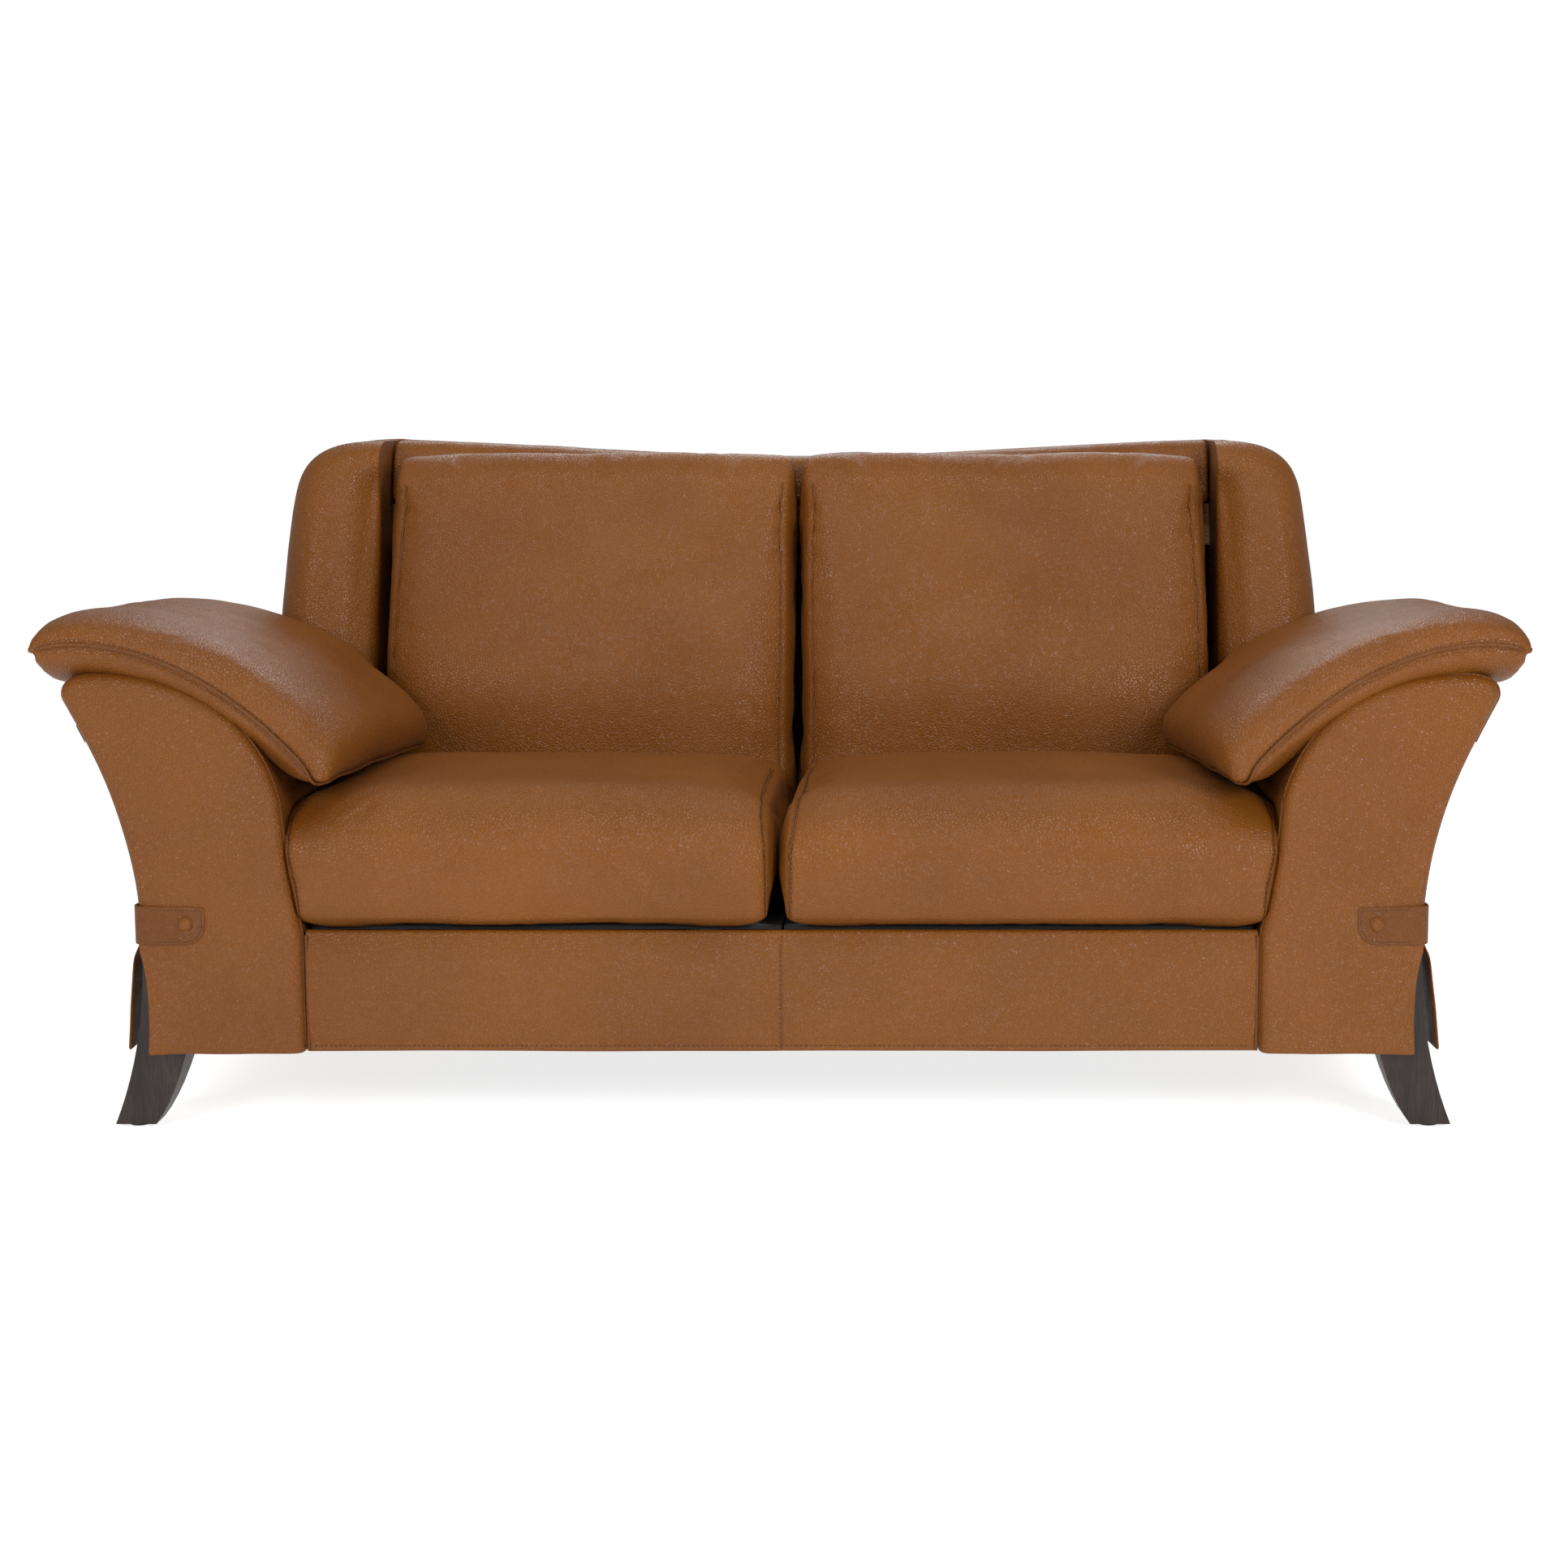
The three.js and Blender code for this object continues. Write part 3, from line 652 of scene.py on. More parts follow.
def arm_shell(hand, side):
    left, right = arm_edges()
    cut, flared = slit_edge(right), skirt_edge(right)
    front = panel(left, cut, True)
    x, z = front[..., 0], front[..., 2]
    hang = 1 - step(HEM, HEM + 90, z)
    front[..., 1] += hang * 1.6 * np.sin(x / 17.0 + side) * step(660, 700, x)
    front[..., 1] -= 5.0 * bell(x, OUTER - 12, 26) * (1 - step(SLIT - 90, SLIT - 6, z))
    rear = panel(left, flared, False)
    rear[..., 1] = rear_plane(rear[..., 2]) - rear[..., 1]
    path = np.vstack([left, flared[::-1][1:]])
    share = np.linspace(0, 1, 26)[None]
    wall = np.empty((len(path), 26, 3))
    wall[..., 0] = path[:, None, 0]
    wall[..., 2] = path[:, None, 1]
    wall[..., 1] = ROLL * (1 - share) + (rear_plane(path[:, 1]) - ROLL)[:, None] * share
    loose = (wall[..., 0] > OUTER - 2) * (1 - step(HEM + 20, SLIT, wall[..., 2]))
    wall[..., 0] += loose * (2.2 * np.sin(wall[..., 1] / 55.0 + 2 * side) - 1.5)
    obj = build(hand + "_arm_shell", [(grid, False, False) for grid in (front, wall, rear)], side)
    uneven(obj, 130.0, 1.6, 3.0 * side)
    thicken(obj, 3.6)
    smooth(obj)
    return finish(obj, LEATHER, FRAME, hand + "_arm_cover")


arms = {hand: arm_shell(hand, side) for hand, side in SIDES}
for hand, side in SIDES:
    left, right = arm_edges()
    cut = slit_edge(right)
    rim = np.vstack([left[left[:, 1] > HEM + 2], right[::-1][1:]])
    rim = rim[: len(left) + 22]  # up the inner edge, over the top and down past the corner
    path = np.stack([rim[:, 0], np.full(len(rim), ROLL - 1.0), rim[:, 1]], 1)
    tree = surface_of(arms[hand])
    pts, _ = on_surface(tree, path, side, 0.4)
    finish(tube(hand + "_arm_welt", pts, 1.7), EDGE, FRAME)
    slit = cut[cut[:, 1] < SLIT + 4]
    hem_z = HEM + 6
    runs = []
    slit_path = np.stack([slit[:, 0] - 5, np.zeros(len(slit)), slit[:, 1]], 1)
    slit_path = slit_path[slit_path[:, 2] > hem_z]
    runs.append(on_surface(tree, slit_path, side))
    hem_path = [(x, 0, hem_z) for x in np.linspace(INNER + 8, OUTER - 15, 40)]
    runs.append(on_surface(tree, hem_path, side))
    side_hem = [(OUTER + 30, y, hem_z) for y in np.linspace(20, FOOT - 20, 60)]
    runs.append(on_surface(tree, side_hem, side))
    finish(stitches(hand + "_arm_stitches", runs), THREAD, FRAME)

# ---- cushions lofted across the sofa
def loft_x(profile, x0, x1, roll, inner_stations, bulge=6.0):
    """Rings of a side profile (y, z) from x0 to x1, with rounded side edges and domed side faces."""
    n = outward(profile)
    middle = profile.mean(0)
    inset = profile - roll * n
    rings = []
    for k in (0.03, 0.3, 0.6, 0.85):
        rings.append((x0 - bulge * (1 - k**2), middle + (inset - middle) * k))
    for phi in np.linspace(0, math.pi / 2, 8):
        rings.append((x0 + roll * (1 - math.cos(phi)), profile - roll * (1 - math.sin(phi)) * n))
    for x in np.linspace(x0 + roll, x1 - roll, inner_stations)[1:-1]:
        rings.append((x, profile))
    for phi in np.linspace(math.pi / 2, 0, 8):
        rings.append((x1 - roll * (1 - math.cos(phi)), profile - roll * (1 - math.sin(phi)) * n))
    for k in (0.85, 0.6, 0.3, 0.03):
        rings.append((x1 + bulge * (1 - k**2), middle + (inset - middle) * k))
    return np.array([[(x, y, z) for y, z in ring] for x, ring in rings])


DECK_LOW, DECK_HIGH = cad("right_seat_deck")
DECK_SLOPE = math.tan(math.radians(2))


def seat_deck_top(y):
    return DECK_HIGH[2] - (y - DECK_LOW[1]) * DECK_SLOPE


def cushion_face(z):
    return FACE + (z - HEM) * RAKE


SEAT_LOW, SEAT_HIGH = cad("right_seat_cushion")
SEAT_X = (SEAT_LOW[0] - 0.5, SEAT_HIGH[0] - 10.0)
SEAT_SHIFT = 8.0  # the two seats meet this far to the left of the middle, in front
SEAT_SPLAY = 21.0  # the outer edge follows the arm outwards by this much


def seat_splay(z):
    return SEAT_SPLAY * step(275, 445, z)


def seat_cushion(hand, side):
    low = seat_deck_top(20) + 1
    rear_low = seat_deck_top(480) + 1
    high, rear = SEAT_HIGH[2], cushion_face(432)
    profile = [(-2, low - 1, 24), (cushion_face(rear_low) - 10, rear_low, 24), (rear - 7, high - 16, 34)]
    profile += [(rear - 150, high - 7, 120), (60, high - 9, 130), (-9, 404, 74), (-10, 322, 44)]
    profile = rounded(profile, 150)
    x0, x1 = SEAT_X
    p = loft_x(profile, x0, x1, 10.0, 46, 1.0)
    share = np.clip((p[..., 0] - x0) / (x1 - x0), 0, 1)
    crown = (4 * share * (1 - share)) ** 0.55
    top = step(350, 440, p[..., 2])
    reach = np.clip(p[..., 1] / 520.0, 0, 1)
    p[..., 2] += top * (9.0 * crown * np.sin(np.pi * (0.12 + 0.8 * reach)) - 20.0 * (1 - crown) ** 1.5)
    front = step(150, 20, p[..., 1]) * bell(p[..., 2], 350, 90)
    p[..., 1] -= front * (6.0 * crown - 3.0)
    p[..., 0] += share * seat_splay(p[..., 2])
    p[..., 0] -= side * SEAT_SHIFT * (1 - share) * step(500, 60, p[..., 1])
    near_middle = 1 - step(0, 0.09, share)
    p[..., 1] += near_middle * 9.0 * step(120, 0, p[..., 1]) * step(320, 430, p[..., 2])
    return build(hand + "_seat_pillow", [(p, True, True)], side)


SEAT_SEAM = [(8, 282), (-6, 300), (-12, 330), (-12, 370), (-6, 405), (14, 432), (50, 452), (120, 466)]
SEAT_SEAM += [(260, 474), (420, 470)]  # (y, z) up the front edge and back along the top
for hand, side in SIDES:
    seat = seat_cushion(hand, side)
    settle(seat, 7.0)
    uneven(seat, 150.0, 3.0, 7.0 + 4 * side)
    uneven(seat, 55.0, 0.8, 2.0 + side)
    if side < 0:
        folds = [((-190 + 26 * k, -12, 352 - 4 * k), (-118 + 19 * k, -10, 286), 7.0, 1.5) for k in range(4)]
        folds += [
            ((-215, -13, 385), (-150, -12, 330), 9.0, 1.3),
            ((-96, 2, 412), (-52, 0, 330), 8.0, 1.3),
            ((-480, -12, 392), (-420, -12, 340), 12.0, 1.2),
        ]
    else:
        folds = [
            ((22, -6, 330), (64, -8, 296), 7.0, 1.4),
            ((20, -6, 350), (52, -8, 330), 6.0, 1.2),
            ((600, -8, 300), (560, -12, 330), 9.0, 1.2),
        ]
    crease(seat, folds)
    smooth(seat)
    apply_modifiers(seat)
    body = "seat_cushion_" + hand
    finish(seat, LEATHER, body, hand + "_seat_cushion")
    tree = surface_of(seat)
    runs, welts = [], []
    for x, outward_sign in ((SEAT_X[0] + 10, -1), (SEAT_X[1] - 10, 1)):
        line = [(x + (float(seat_splay(z)) if outward_sign > 0 else 0), y, z) for y, z in SEAT_SEAM]
        runs.append(on_surface(tree, spread(line, 90), side))
        seam = [(px + 6.5 * outward_sign, py, pz) for px, py, pz in line]
        pts, _ = on_surface(tree, spread(seam, 90), side, -0.2)
        welts.append(pts)
    groove(seat, welts, 3.2, 1.6)
    finish(stitches(hand + "_seat_stitches", runs), THREAD, body)
    for i, pts in enumerate(welts):
        finish(tube("%s_seat_seam_%d" % (hand, i + 1), pts, 1.1), EDGE, body)

# ---- back cushions
BACK_LOW, BACK_HIGH = cad("right_back_cushion")
BACK_THICK = 158.0


def back_taper(z):
    """How far the outer edge draws in towards the top."""
    return 12.0 * step(560, BACK_HIGH[2], z)


def back_cushion(hand, side):
    top = BACK_HIGH[2]
    bottom = BACK_LOW[2]
    rear = FACE + BACK_THICK
    profile = [(FACE + 16, bottom + 3, 34), (rear, bottom + 3, 26), (rear, top, 34)]
    profile += [(FACE + 44, top + 7, 46), (FACE + 8, top - 24, 44), (FACE - 2, 560, 140)]
    profile = rounded(profile, 170)
    x0, x1 = BACK_LOW[0] - 1.0, BACK_HIGH[0] - 1
    p = loft_x(profile, x0, x1, 14.0, 46, 1.0)
    share = np.clip((p[..., 0] - x0) / (x1 - x0), 0, 1)
    crown = (4 * share * (1 - share)) ** 0.62
    face = step(FACE + 90, FACE + 20, p[..., 1])
    z = p[..., 2]
    lumbar = 34.0 * bell(z, 535, 110) - 3.0 * bell(z, 730, 70)
    p[..., 1] += face * (14.0 - crown * lumbar + 9.0 * (1 - crown) ** 1.5)
    p[..., 2] -= step(top - 80, top - 10, z) * (7.0 * (1 - crown) ** 1.5)
    p[..., 0] -= share * back_taper(z)
    lean(p)
    return build(hand + "_back_pillow", [(p, True, True)], side)


BACK_FOLDS = (((30, 470), (90, 520)), ((20, 500), (70, 560)), ((540, 462), (600, 492)), ((130, 640), (60, 665)))
for hand, side in SIDES:
    back = back_cushion(hand, side)
    settle(back, 8.0)
    uneven(back, 170.0, 3.4, 21.0 + 5 * side)
    uneven(back, 60.0, 0.8, 11.0 + side)
    rng = np.random.default_rng(5 + side)
    folds = []
    for k in range(17):
        x = 60 + k * 32 + rng.uniform(-8, 8)
        z = 866 - rng.uniform(0, 6)
        y = cushion_face(z) + 22
        foot = z - rng.uniform(22, 48)
        end = (x + rng.uniform(-6, 6)) * side, cushion_face(foot) + 4, foot
        folds.append(((x * side, y, z), end, 6.0, rng.uniform(0.5, 1.1)))
    for (x0, z0), (x1, z1) in BACK_FOLDS:
        folds.append(((x0 * side, cushion_face(z0) - 4, z0), (x1 * side, cushion_face(z1) - 6, z1), 9.0, 1.3))
    crease(back, folds)
    smooth(back)
    apply_modifiers(back)
    body = "back_cushion_" + hand
    finish(back, LEATHER, body, hand + "_back_cushion")
    tree = surface_of(back)
    runs = []
    for edge in (BACK_LOW[0] + 9, BACK_HIGH[0] - 10):
        line = []
        for z in np.linspace(300, 850, 60):
            x = edge - (float(back_taper(z)) if edge > 300 else 0)
            line.append((x, cushion_face(z) - 5, z))
        pts, _ = on_surface(tree, line, side, -0.2)
        runs.append(pts)
    groove(back, runs, 4.0, 1.6)
    for i, pts in enumerate(runs):
        finish(tube("%s_back_seam_%d" % (hand, i + 1), pts, 1.1), EDGE, body)

# ---- arm pads
PAD_LOW, PAD_HIGH = cad("right_arm_pad")
PAD_FRONT = PAD_LOW[1]
pad_line = bezier([(PAD_HIGH[0] - 3, 640), (OUTER + 35, 675), (INNER + 71, 612), (INNER - 44, 464)], 64)


def wing_face(z):
    return rear_plane(z) - WING_DEPTH


pad_tangent = np.gradient(pad_line, axis=0)
pad_tangent /= np.linalg.norm(pad_tangent, axis=1)[:, None]
PAD_UP = np.stack([pad_tangent[:, 1], -pad_tangent[:, 0]], 1)
pad_reach = np.concatenate([[0], np.cumsum(np.linalg.norm(np.diff(pad_line, axis=0), axis=1))])
PAD_TURNS = 84


def pad_point(i, depth, up):
    """A point of the pad: i along its line, depth from 0 in front to 1 behind, up from -1 to 1 through it."""
    x, z = pad_line[i]
    tip, end = pad_reach[i], pad_reach[-1] - pad_reach[i]
    tip_radius = 34.0 if up > 0 else 16.0
    blunt = math.sqrt(1 - max(0.0, 1 - (tip + 1.5) / tip_radius) ** 2)
    blunt *= math.sqrt(1 - max(0.0, 1 - (end + 1.5) / 42) ** 2)
    inward = float(step(OUTER, INNER - 20, np.array(x)))
    rise = (40 + 12 * inward) * (1 - 0.25 * depth) if up > 0 else 52 - 13 * inward
    rise *= blunt
    px = x + PAD_UP[i, 0] * up * rise - inward * 46 * (depth - 0.2)
    pz = z + PAD_UP[i, 1] * up * rise - 12 * depth * float(step(INNER + 60, CORNER, np.array(x)))
    pz -= 12 * inward * step(0.2, 1.0, depth)
    rear = wing_face(pz) - 5 if px > WING_IN - 8 else cushion_face(pz) - 6
    front = PAD_FRONT + 1 + 7.0 * max(0.0, -up) ** 1.5
    return px, front + (rear - front) * depth, pz


def pad(hand, side):
    rings = []
    for i in range(len(pad_line)):
        ring = []
        for a in np.linspace(0, 2 * math.pi, PAD_TURNS, endpoint=False):
            across = math.copysign(abs(math.cos(a)) ** 0.3, math.cos(a))
            up = math.copysign(abs(math.sin(a)) ** 0.8, math.sin(a))
            ring.append(pad_point(i, 0.5 + 0.5 * across, up))
        rings.append(ring)
    return build(hand + "_arm_pillow", [(np.array(rings), True, True)], side)


pads = {}
for hand, side in SIDES:
    piece = pad(hand, side)
    settle(piece, 6.0, 9.0)
    uneven(piece, 120.0, 3.0, 33.0 + 3 * side)
    uneven(piece, 45.0, 0.9, 3.0 + side)
    folds = []
    rng = np.random.default_rng(17 + side)
    for k in range(26):
        i = int(18 + k * 1.6 + rng.integers(0, 2))
        if i >= len(pad_line) - 2:
            continue
        start = np.array(pad_point(i, 0.0, -0.05)) * [side, 1, 1]
        end = np.array(pad_point(min(i + 1, len(pad_line) - 1), 0.004, -0.75)) * [side, 1, 1]
        folds.append((start, end, 4.0, rng.uniform(0.5, 1.2)))
    crease(piece, folds)
    smooth(piece)
    apply_modifiers(piece)
    pads[hand] = finish(piece, LEATHER, FRAME, hand + "_arm_pad")

# ---- wings, crest and outer back
def above_arm(first, last, count, gap=5.0):
    """The arm's top curve moved up by a gap, between two shares of its length."""
    t = np.linspace(first, last, count)
    k = t * (len(top_curve) - 1)
    i = np.arange(len(top_curve))
    p = np.stack([np.interp(k, i, top_curve[:, a]) for a in (0, 1)], 1)
    d = np.gradient(top_curve, axis=0)
    d = np.stack([np.interp(k, i, d[:, a]) for a in (0, 1)], 1)
    d /= np.linalg.norm(d, axis=1)[:, None]
    p = p + np.stack([-d[:, 1], d[:, 0]], 1) * gap
    return p[p[:, 0] < WING_OUT - 30]


WING_FOOT = (WING_OUT - 11, ARM_TOP + 7)
REAR_GAP = 6.5  # room for the outer cover behind the wings


def wing_side():
    """The outer edge of the back from the arm up to the straight part of the crest."""
    w, top = WING_OUT, BACK_TOP
    first = bezier([WING_FOOT, (w - 15, 690), (w - 20, 760), (w - 30, top - 82)], 24)
    second = bezier([(w - 30, top - 82), (w - 40, top - 28), (w - 66, top - 5), (WING_IN + 23, top - 1)], 24)
    return np.vstack([first, second[1:]])


def coons(left, right, low, high):
    """A patch (nu, nv, 2) between four edges: left and right run upwards, low and high to the right."""
    v = np.linspace(0, 1, len(left))[None, :, None]
    u = np.linspace(0, 1, len(low))[:, None, None]
    across = (1 - u) * left[None] + u * right[None]
    upward = (1 - v) * low[:, None] + v * high[:, None]
    flat = (1 - v) * ((1 - u) * left[0] + u * right[0]) + v * ((1 - u) * left[-1] + u * right[-1])
    return across + upward - flat


def wing(hand, side):
    low = spread(np.vstack([above_arm(0.36, 0.86, 20), [WING_FOOT]]), 44)
    low[0, 0] = WING_IN
    outer = spread(wing_side(), 90)
    left = spread([(WING_IN, low[0, 1]), (WING_IN, BACK_TOP - 1)], 90)
    high = spread([left[-1], outer[-1]], 44)
    even = np.linspace(0, 1, 44)
    share = np.sin(even * math.pi / 2) ** 1.2
    low, high = (np.stack([np.interp(share, even, e[:, k]) for k in (0, 1)], 1) for e in (low, high))
    face = coons(left, outer, low, high)
    flat = face.reshape(-1, 2)
    to_outer = to_edge(flat, np.vstack([outer, [(WING_IN - 30, BACK_TOP - 1)]]))
    x, z = flat[:, 0], flat[:, 1]
    round_out = 50.0
    e = np.clip(round_out - to_outer, 0, round_out)
    depth = round_out - np.sqrt(round_out**2 - e**2)
    valley = 30.0 * np.exp(-(((x - WING_IN) / 30.0) ** 2)) * step(BACK_TOP - 12, BACK_TOP - 90, z)
    belly = 9.0 * bell(x, WING_IN + 92, 46) * step(BACK_TOP - 10, BACK_TOP - 130, z)
    depth = (depth + valley - belly).reshape(face.shape[:2])
    front = np.dstack([face[..., 0], depth, face[..., 1]])
    rear = np.dstack([face[..., 0], np.full(depth.shape, WING_DEPTH - REAR_GAP), face[..., 1]])
    loop = np.vstack([front[:, 0], front[-1, 1:], front[-2::-1, -1], front[0, -2:0:-1]])
    walls = [loop * [1, 1 - k, 1] + [0, k * (WING_DEPTH - REAR_GAP), 0] for k in np.linspace(0, 1, 14)]
    walls = np.array(walls)
    for p in (front, rear, walls):
        p[..., 1] += FOOT - WING_DEPTH
        lean(p)
    parts = [(front, False, False), (walls, True, False), (rear, False, False)]
    return build(hand + "_wing_pad", parts, side)


for hand, side in SIDES:
    piece = wing(hand, side)
    uneven(piece, 140.0, 2.2, 51.0 + 3 * side)
    uneven(piece, 50.0, 0.6, 8.0 + side)
    smooth(piece)
    finish(piece, LEATHER, FRAME, hand + "_wing")

CREST_LOW, CREST_HIGH = cad("back_top_roll")
CREST_END, CREST_DIP = CREST_HIGH[0], BACK_TOP - 27
half_crest = [(CREST_END, BACK_TOP - 1), (CREST_END * 0.6, BACK_TOP - 8), (CREST_END * 0.35, CREST_DIP)]
half_crest = bezier(half_crest + [(0, CREST_DIP)], 40)


def crest_height(x):
    return np.interp(np.abs(x), half_crest[::-1, 0], half_crest[::-1, 1])


FLAT_TOP = 873.0  # the crest is lofted to this height, then stretched to the crest's curve
crest_rear = FOOT - REAR_GAP - 0.1
profile = [(608, CREST_LOW[2], 12), (crest_rear, CREST_LOW[2], 6), (crest_rear, FLAT_TOP, 12)]
profile = rounded(profile + [(608, FLAT_TOP, 40)], 70)
p = loft_x(profile, CREST_LOW[0] + 0.5, CREST_HIGH[0] - 0.5, 7.0, 90, 0.0)
share = (p[..., 2] - CREST_LOW[2]) / (FLAT_TOP - CREST_LOW[2])
p[..., 2] = CREST_LOW[2] + share * (crest_height(p[..., 0]) - CREST_LOW[2])
lean(p)
crest = build("crest_pad", [(p, True, True)])
uneven(crest, 110.0, 1.6, 61.0)
smooth(crest)
finish(crest, LEATHER, FRAME, "back_top_roll")

# the cover's edge follows the arm, the wing and the crest, so that no slot shows from behind
outer = np.vstack([[(INNER - 3, HEM), (INNER - 3, 258)], inner_curve[2:] - [4, 0]])
half = np.vstack([outer, above_arm(0.08, 0.86, 14), wing_side(), [(WING_IN, BACK_TOP)], half_crest[1:]])
outline = spread(np.vstack([half, (half * [-1, 1])[::-1][1:]]), 620, True)
middle = np.array([0.0, 600.0])
n = outward(outline)
rings = []
for k in np.concatenate([[0.01], np.linspace(0.06, 0.97, 26)]):
    ring = middle + (outline - 6 * n - middle) * k
    rings.append(np.column_stack([ring[:, 0], np.full(len(ring), 2.5 * (1 - k**6)), ring[:, 1]]))
for phi in np.linspace(0, math.pi / 2, 6):
    ring = outline - 6 * (1 - math.sin(phi)) * n
    rings.append(np.column_stack([ring[:, 0], np.full(len(ring), -5.6 * (1 - math.cos(phi))), ring[:, 1]]))
p = np.array(rings)
p[..., 1] += FOOT
COVER_SEAMS = (-330.0, 330.0)
for x in COVER_SEAMS:
    p[..., 1] -= 1.2 * bell(p[..., 0], x, 9.0)
lean(p)
cover = build("outer_back_cover", [(p, True, True)])
uneven(cover, 160.0, 1.4, 71.0)
finish(cover, LEATHER, FRAME, "back_outer_cover")
tree = surface_of(cover)
runs = []
for x in [x + beside for x in COVER_SEAMS for beside in (-4.0, 4.0)]:
    runs.append(on_surface(tree, [(x, rear_plane(z) + 8, z) for z in np.linspace(HEM + 4, 868, 90)]))
runs.append(on_surface(tree, [(x, rear_plane(HEM + 8) + 8, HEM + 8) for x in np.linspace(-620, 620, 120)]))
finish(stitches("outer_back_stitches", runs), THREAD, FRAME)
for i, x in enumerate(COVER_SEAMS):
    pts, _ = on_surface(tree, [(x, rear_plane(z) + 8, z) for z in np.linspace(HEM + 1, 870, 90)], 1, -0.3)
    finish(tube("outer_back_seam_%d" % (i + 1), pts, 1.0), EDGE, FRAME)

# ---- pad seams
for hand, side in SIDES:
    loop = [pad_point(1, 0.94 - 0.94 * k / 40, 0.0) for k in range(40)]
    loop += [pad_point(i, 0.0, 0.0) for i in range(1, len(pad_line) - 1)]
    loop += [pad_point(len(pad_line) - 2, 0.94 * k / 40, 0.0) for k in range(1, 41)]
    line = np.array(loop)
    for _ in range(12):
        line[1:-1] = (line[:-2] + line[1:-1] + line[2:]) / 3
    under = line - [0, 0, 6.0]
    tree = surface_of(pads[hand])
    pts, _ = on_surface(tree, spread(line, 300), side, 0.9)
    low, _ = on_surface(tree, spread(under, 300), side, 0.0)
    stitch = on_surface(tree, spread(line + [0, 0, 7.0], 300), side, -0.2)
    groove(pads[hand], [low], 5.0, 4.0)
    finish(tube(hand + "_pad_piping", pts, 2.6), EDGE, FRAME)
    finish(stitches(hand + "_pad_stitches", [stitch]), THREAD, FRAME)

# ---- apron
APRON_LOW, APRON_HIGH = cad("apron")
APRON_FACE, APRON_HEM, APRON_TOP = APRON_LOW[1], APRON_LOW[2], APRON_HIGH[2]
APRON_REAR = APRON_FACE + 13
profile = [(APRON_FACE, APRON_HEM, 3), (APRON_REAR, APRON_HEM, 3), (APRON_REAR, 259, 3)]
profile += [(APRON_REAR, APRON_TOP, 3), (APRON_FACE + 4, APRON_TOP - 1, 8), (APRON_FACE, 250, 10)]
p = loft_x(rounded(profile, 110), APRON_LOW[0] + 0.4, APRON_HIGH[0] - 0.4, 2.5, 161, 0.0)
facing = step(APRON_FACE + 7, APRON_FACE + 1, p[..., 1])
mid = step(APRON_HEM, APRON_HEM + 60, p[..., 2]) * step(BELT, 225, p[..., 2])
p[..., 1] -= facing * (2.2 * mid - 1.2 * bell(p[..., 0], 0, 6.0))
p[..., 1] += facing * 0.8 * bell(p[..., 2], APRON_HEM + 13, 4.0)
apron = build("apron_panel", [(p, True, True)])
uneven(apron, 180.0, 1.5, 81.0)
smooth(apron)
finish(apron, LEATHER, FRAME, "apron")
tree = surface_of(apron)
y = APRON_FACE - 4
runs = [on_surface(tree, [(x, y, APRON_HEM + 8) for x in np.linspace(-622, 622, 160)])]
runs.append(on_surface(tree, [(-2.6, y, z) for z in np.linspace(APRON_HEM + 2, 255, 40)]))
finish(stitches("apron_stitches", runs), THREAD, FRAME)
pts, _ = on_surface(tree, [(0, y, z) for z in np.linspace(APRON_HEM + 1, BELT, 40)], 1, -0.35)
finish(tube("apron_centre_seam", pts, 0.9), EDGE, FRAME)
for hand, side in SIDES:
    line = [(INNER - 5.5, APRON_FACE - 1.0, z) for z in np.linspace(HEM + 2, BELT, 40)]
    pts = [Vector((x * side, y + FRONT, z)) * MM for x, y, z in line]
    finish(tube(hand + "_apron_piping", pts, 2.2), EDGE, FRAME)

# ---- straps, buttons and studs
STRAP_LOW, STRAP_HIGH = cad("right_strap")
BUTTON_LOW, BUTTON_HIGH = cad("right_button")
BUTTON = (BUTTON_LOW + BUTTON_HIGH) / 2
STRAP_ROUND = 27.0  # radius of the strap's rounded lower corner


def strap_mesh(hand, side):
    """A leather strap from its rounded end, over the button, round the corner and along the arm's side."""
    y, over = STRAP_LOW[1] + 1.5, BUTTON[0]
    plan = [(STRAP_LOW[0], y + 0.6), (over - 14, y + 0.2), (over, y - 0.4), (over + 16, y + 0.3)]
    plan.append((OUTER - 22, y))
    plan += bezier([(OUTER - 12, y), (OUTER + 5.5, y + 0.5), (OUTER + 6.5, 14)], 10).tolist()
    plan += [(OUTER + 5.5, 24), (OUTER + 4.0, 38), (OUTER + 3.2, 66)]
    centre = spread(plan, 70)
    d = np.gradient(centre, axis=0)
    d /= np.linalg.norm(d, axis=1)[:, None]
    off = np.stack([d[:, 1], -d[:, 0]], 1) * -1
    low, high, half = STRAP_LOW[2], STRAP_HIGH[2], 2.0
    reach = np.concatenate([[0], np.cumsum(np.linalg.norm(np.diff(centre, axis=0), axis=1))])
    rings = []
    for c, o, at in zip(centre, off, reach):
        lift, drop = (r - math.sqrt(max(0.0, r * r - max(0.0, r - at) ** 2)) for r in (STRAP_ROUND, 4.0))
        z0, z1 = low + lift, high - drop - 0.02 * max(0.0, 80 - at)
        z0 = min(z0, z1 - 2)
        outside = [(z0 + (z1 - z0) * k / 12, 1) for k in range(13)]
        inside = [(z1 + (z0 - z1) * k / 12, -1) for k in range(13)]
        ring = []
        for z, s in [(z0, -0.4), (z0, 0.4), *outside, (z1, 0.4), (z1, -0.4), *inside]:
            inset = 0.7 if abs(s) == 1 else 0.0
            zz = min(max(z, z0 + inset), z1 - inset)
            ring.append((c[0] + o[0] * half * s, c[1] + o[1] * half * s, zz))
        rings.append(ring)
    return build(hand + "_strap_leather", [(np.array(rings), True, True)], side, 0.001)


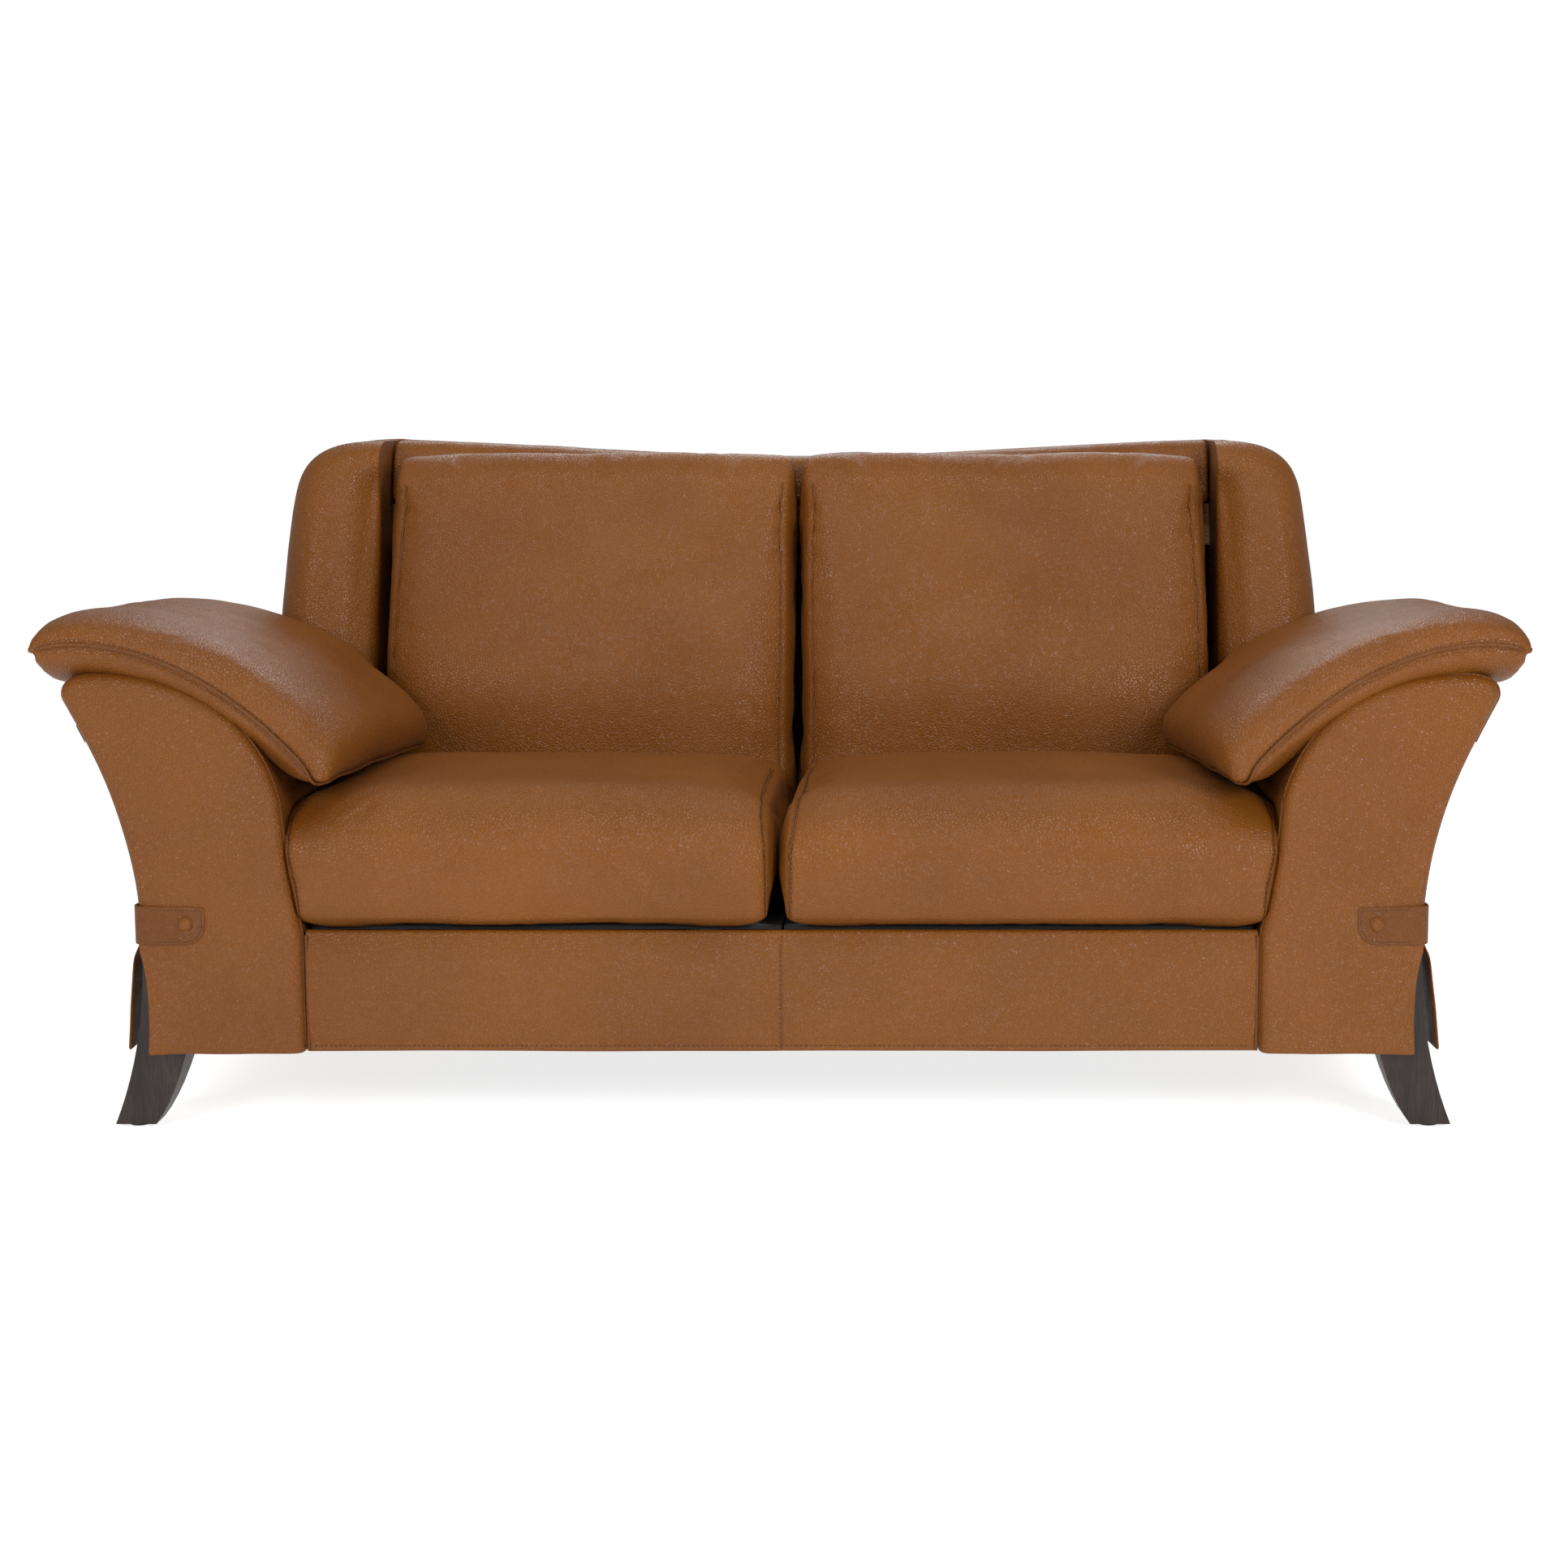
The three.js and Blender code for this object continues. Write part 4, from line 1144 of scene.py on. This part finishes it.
# (radius, height) of a dome with a lip round its edge, as shares of its own
DOME = [(0.001, 1.0), (0.25, 0.985), (0.5, 0.93), (0.7, 0.8), (0.82, 0.62), (0.88, 0.42)]
DOME += [(0.93, 0.36), (0.99, 0.34), (1.0, 0.2), (0.98, 0.0), (0.001, 0.0)]


def dome(name, x, y, z, radius, height, side):
    """A round dome facing the front."""
    turn = np.linspace(0, 2 * math.pi, 40, endpoint=False)
    rings = []
    for r, h in DOME:
        r *= radius
        rings.append([(x + r * math.cos(a), y - height * h, z + r * math.sin(a)) for a in turn])
    obj = build(name, [(np.array(rings), True, True)], side, 0.001)
    smooth(obj)
    return obj


for hand, side in SIDES:
    strap = strap_mesh(hand, side)
    smooth(strap)
    strap.data.materials.append(EDGE)
    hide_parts(hand + "_strap")
    body = "strap_" + hand
    tree = surface_of(strap)
    y = STRAP_LOW[1] - 2
    edge = 4.2  # from the strap's edge to its stitching
    x0, z0, z1 = STRAP_LOW[0], STRAP_LOW[2], STRAP_HIGH[2]
    line = [(OUTER - 16, y, z0 + edge), (x0 + STRAP_ROUND, y, z0 + edge)]
    r = STRAP_ROUND - edge
    for a in np.linspace(-math.pi / 2, -math.pi, 10)[1:]:
        line.append((x0 + STRAP_ROUND + r * math.cos(a), y, z0 + STRAP_ROUND + r * math.sin(a)))
    line += [(x0 + edge, y, z1 - edge - 2), (OUTER - 16, y, z1 - edge)]
    run = on_surface(tree, spread(line, 90), side, 0.1)
    finish(stitches(hand + "_strap_stitches", [run], 5.0, 3.4, 0.42), THREAD, body)
    button = dome(hand + "_button_dome", BUTTON[0], BUTTON_HIGH[1] - 0.2, BUTTON[2], 9.5, 5.6, side)
    finish(button, LEATHER, body, hand + "_button")
    stud = dome(hand + "_press_stud", BUTTON[0], 0.2, BUTTON[2], 5.0, 2.6, side)
    finish(stud, STEEL, FRAME, None)
    hinge = [j for j in frame["joints"] if j["name"] == "strap_hinge_" + hand][0]["pos_m"]
    start = (hinge[0] - side * 0.012, hinge[1], hinge[2])
    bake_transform(strap)

# ---- what shows when cushions are off, and the underside
low, high = cad("dust_cover")
size = high - low
gx, gy = np.meshgrid(np.linspace(low[0], high[0], 60), np.linspace(low[1], high[1], 30), indexing="ij")
sag = np.sin(np.pi * (gx - low[0]) / size[0]) * np.sin(np.pi * (gy - low[1]) / size[1])
grid = np.dstack([gx, gy, high[2] - 0.6 - 5.0 * sag])
dust = build("dust_cloth", [(grid, False, False)])
thicken(dust, 0.8)
finish(dust, LINING, FRAME, "dust_cover")

low, high = cad("back_lining")
size = high - low
gx, gz = np.meshgrid(np.linspace(low[0], high[0], 110), np.linspace(low[2], high[2], 50), indexing="ij")
grid = np.dstack([gx, np.full(gx.shape, FOOT - 90.0) + 1.2 * np.sin(gx / 24) * np.sin(gz / 70), gz])
lean(grid)
lining = build("back_lining_cloth", [(grid, False, False)])
thicken(lining, 1.0)
finish(lining, LINING, FRAME, "back_lining")

for hand, side in SIDES:
    low, high = DECK_LOW, DECK_HIGH
    y0, y1, top = low[1] + 1, high[1] - 1, high[2]
    profile = rounded([(y0, top - 6, 2), (y1, top - 6, 2), (y1, top, 2), (y0, top, 2)], 120)
    p = loft_x(profile, low[0] + 0.5, high[0] - 0.5, 2.0, 70, 0.0)
    share = (p - low) / (high - low)
    quilt = [np.abs(np.sin(share[..., k] * count * math.pi)) ** 0.35 for k, count in ((0, 5), (1, 4))]
    p[..., 2] += 0.8 * (quilt[0] * quilt[1] - 1) * step(top - 3, top, p[..., 2])
    p[..., 2] -= (p[..., 1] - low[1]) * DECK_SLOPE + 0.3
    deck = build(hand + "_deck_felt", [(p, True, True)], side)
    finish(deck, FELT, FRAME, hand + "_seat_deck")

for node, obj in frame["nodes"].items():
    if slots[node] in ("dark_wood", "frame_wood"):
        rounder = obj.modifiers.new("edges", "BEVEL")
        rounder.width = 0.0022
        rounder.segments = 3
        rounder.angle_limit = math.radians(35)
        rounder.harden_normals = True
    obj.data.shade_smooth()
    obj.data.set_sharp_from_angle(angle=math.radians(35))

# ---- floor and light
F = 60.0  # half the floor's width, in metres
corners = [(-F, -F, 0), (F, -F, 0), (F, F, 0), (-F, F, 0)]
floor = add_object("floor", from_faces("floor", corners, [(0, 1, 2, 3)]))
PALE, inputs, where = material("pale_floor", 0.85)
plug(ramp(noise_of(where, 0.6), [(0.3, grey(0.86)), (0.7, grey(0.88))]), inputs["Base Color"])
# The floor looks white all the way to the horizon, and lights the sofa only softly.
seen = new_node(where, "ShaderNodeLightPath").outputs["Is Camera Ray"]
plug(mix(seen, grey(0.36), grey(0.77)), inputs["Emission Color"])
inputs["Emission Strength"].default_value = 1.0
floor.data.materials.append(PALE)

world = bpy.data.worlds.new("studio")
scene.world = world
world.use_nodes = True
glow = world.node_tree.nodes["Background"].inputs["Color"]
seen = new_node(glow, "ShaderNodeLightPath").outputs["Is Camera Ray"]
plug(mix(seen, grey(0.28), grey(1)), glow)


def area_light(name, place, target, size, power):
    data = bpy.data.lights.new(name, "AREA")
    data.shape = "RECTANGLE"
    data.size, data.size_y = size
    data.energy = power
    obj = bpy.data.objects.new(name, data)
    scene.collection.objects.link(obj)
    obj.location = place
    obj.rotation_euler = (Vector(target) - Vector(place)).to_track_quat("-Z", "Y").to_euler()


area_light("key_right", (2.0, -3.2, 1.8), (0.1, 0, 0.5), (1.0, 1.3), 62)
area_light("fill_left", (-2.0, -3.1, 1.7), (-0.1, 0, 0.5), (1.0, 1.3), 40)
area_light("top", (0, -0.6, 3.2), (0, 0, 0.4), (2.6, 0.9), 34)
area_light("rear", (0, 3.6, 2.7), (0, 0, 0.5), (2.6, 1.2), 34)
